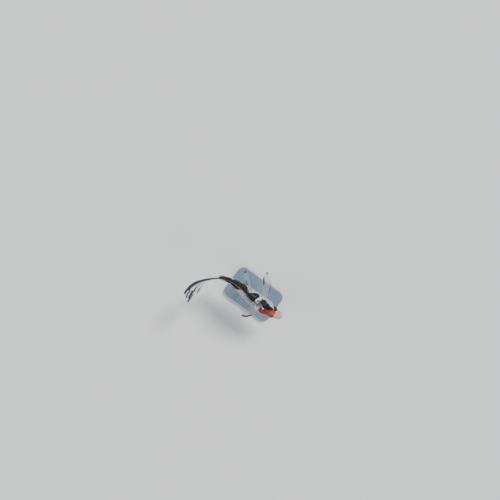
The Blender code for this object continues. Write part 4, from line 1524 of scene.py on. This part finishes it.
LACQUER_BLUE, LACQUER_SLATE = (0.118, 0.172, 0.238, 1), (0.142, 0.204, 0.276, 1)
LACQUER_FLECK = (0.24, 0.31, 0.38, 1)
board_material, tree, shader = new_material("stand_lacquer")
wear = node(tree, "ShaderNodeGroup", {"Scale": 1400.0, "Amount": 0.14}, node_tree=wear_tree)
lacquer = painted(
    tint(ramp(noise(tree, 45.0, 4.0), 0.3, 0.7), LACQUER_BLUE, LACQUER_SLATE),
    (ramp(noise(tree, 5200.0, 2.0), 0.68, 0.80, 0.0, 0.35), LACQUER_FLECK),
)
feed(
    shader,
    Base_Color=lacquer,
    Roughness=maths("ADD", 0.36, wear.outputs["Dull"]),
    Normal=bumps(wear.outputs["Height"], 0.10, 0.0001),
    Coat_Weight=0.15,
    Coat_Roughness=0.25,
)
put_on(base, board_material)
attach(base, "root")
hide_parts("stand_base")

ROD_RADIUS = 0.0018
# A rod's outline over its foot, and below its top: (height, radius), both in rod radii
ROD_FOOT = (
    (0.0, 2.75), (0.35, 2.80), (0.55, 2.60), (0.75, 2.15), (1.05, 1.75), (1.25, 1.66), (1.40, 1.30),
    (1.60, 1.06), (2.0, 1.0),
)
ROD_CUP = ((-2.2, 1.0), (-2.0, 1.12), (0.0, 1.12))
STEEL_DARK, STEEL_BRIGHT = (0.58, 0.57, 0.55, 1), (0.70, 0.69, 0.67, 1)
rod_material, tree, shader = new_material("stand_steel")
wear = node(tree, "ShaderNodeGroup", {"Scale": 2600.0, "Amount": 0.18}, node_tree=wear_tree)
turning = noise(tree, 900.0, 2.0, 0.5, stretch=(0.05, 0.05, 6.0))
feed(
    shader,
    Base_Color=tint(ramp(turning, 0.3, 0.7), STEEL_DARK, STEEL_BRIGHT),
    Metallic=1.0,
    Roughness=maths("ADD", 0.20, wear.outputs["Dull"]),
    Normal=bumps(turning, 0.08, 0.00005),
)


def draw_up(middle, foot, outline):
    """Extrudes the selected disc up through the outline, which is in metres."""
    last_height, last_radius = outline[0]
    for height, radius in outline[1:]:
        bpy.ops.mesh.extrude_region_move(TRANSFORM_OT_translate={"value": (0, 0, height - last_height)})
        bpy.ops.transform.resize(
            value=(radius / last_radius, radius / last_radius, 1.0),
            center_override=(middle.x, middle.y, foot + height),
        )
        last_height, last_radius = height, radius
    bpy.ops.mesh.select_all(action="SELECT")


for name in ("stand_rod_front", "stand_rod_rear"):
    low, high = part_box(name)
    middle = (low + high) / 2
    outline = [(height * ROD_RADIUS, radius * ROD_RADIUS) for height, radius in ROD_FOOT]
    outline += [(high.z - low.z + height * ROD_RADIUS, radius * ROD_RADIUS) for height, radius in ROD_CUP]
    rod = add(
        name + "_turned", bpy.ops.mesh.primitive_circle_add, vertices=48, radius=outline[0][1],
        fill_type="NGON", location=(middle.x, middle.y, low.z),
    )
    bpy.ops.object.transform_apply(location=True, rotation=False, scale=False)
    edit(
        rod,
        lambda: draw_up(middle, low.z, outline),
        lambda: bpy.ops.mesh.normals_make_consistent(inside=False),
    )
    bpy.ops.object.shade_smooth_by_angle(angle=math.radians(40))
    put_on(rod, rod_material)
    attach(rod, "root")
    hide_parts(name)

# ---------------------------------------------------------------- studio
# A plain pale floor, a large soft light over the fish's left side, weaker ones round it, and a camera
# that looks straight down.

FLOOR_GREY, FLOOR_WHITE = (0.68, 0.69, 0.70, 1), (0.70, 0.705, 0.71, 1)
floor = add("floor", bpy.ops.mesh.primitive_plane_add, size=60.0, location=(0, 0, 0))
floor_material, tree, shader = new_material("pale_floor")
feed(
    shader,
    Base_Color=tint(ramp(noise(tree, 2.0), 0.3, 0.7), FLOOR_GREY, FLOOR_WHITE),
    Roughness=0.75,
)
put_on(floor, floor_material)

LIGHTS = (  # name, where it shines from, watts per square metre, degrees across
    ("key", (0.12, 0.78, 0.84), 3.5, 16),
    ("fill", (-0.80, -0.55, 0.75), 0.85, 50),
    ("front", (0.85, -0.30, 0.55), 0.95, 40),
)
for name, place, strength, width in LIGHTS:
    light = add(name, bpy.ops.object.light_add, type="SUN", location=place)
    light.data.energy = strength
    light.data.angle = math.radians(width)
    light.rotation_euler = Vector(place).to_track_quat("Z", "Y").to_euler()
# The surround is bright round the horizon and dimmer overhead, as a soft tent round a table is
HORIZON_WHITE, OVERHEAD_GREY = (1.12, 1.13, 1.14, 1), (0.20, 0.21, 0.22, 1)
world = bpy.data.worlds.new("studio")
world.use_nodes = True
tree = world.node_tree
looking = node(tree, "ShaderNodeSeparateXYZ", {0: node(tree, "ShaderNodeTexCoord").outputs["Generated"]})
overhead = ramp(looking.outputs["Z"], 0.22, 0.70)
feed(tree.nodes["Background"], Color=tint(overhead, HORIZON_WHITE, OVERHEAD_GREY), Strength=1.0)
bpy.context.scene.world = world

CAMERA_PLACE = (-0.0544, 0.0632, AXIS_HEIGHT + 0.70)
CAMERA_TURN = 36  # degrees round its own line of sight
CAMERA_LENS, CAMERA_WIDTH = 29.474, 36.0  # millimetres
camera_data = bpy.data.cameras.new("camera")
camera_data.lens = CAMERA_LENS
camera_data.sensor_width = CAMERA_WIDTH
camera_data.clip_start = 0.01
camera_data.clip_end = 100.0
camera = bpy.data.objects.new("camera", camera_data)
camera.location = CAMERA_PLACE
camera.rotation_euler = (0, 0, math.radians(CAMERA_TURN))
bpy.context.scene.collection.objects.link(camera)
bpy.context.scene.camera = camera
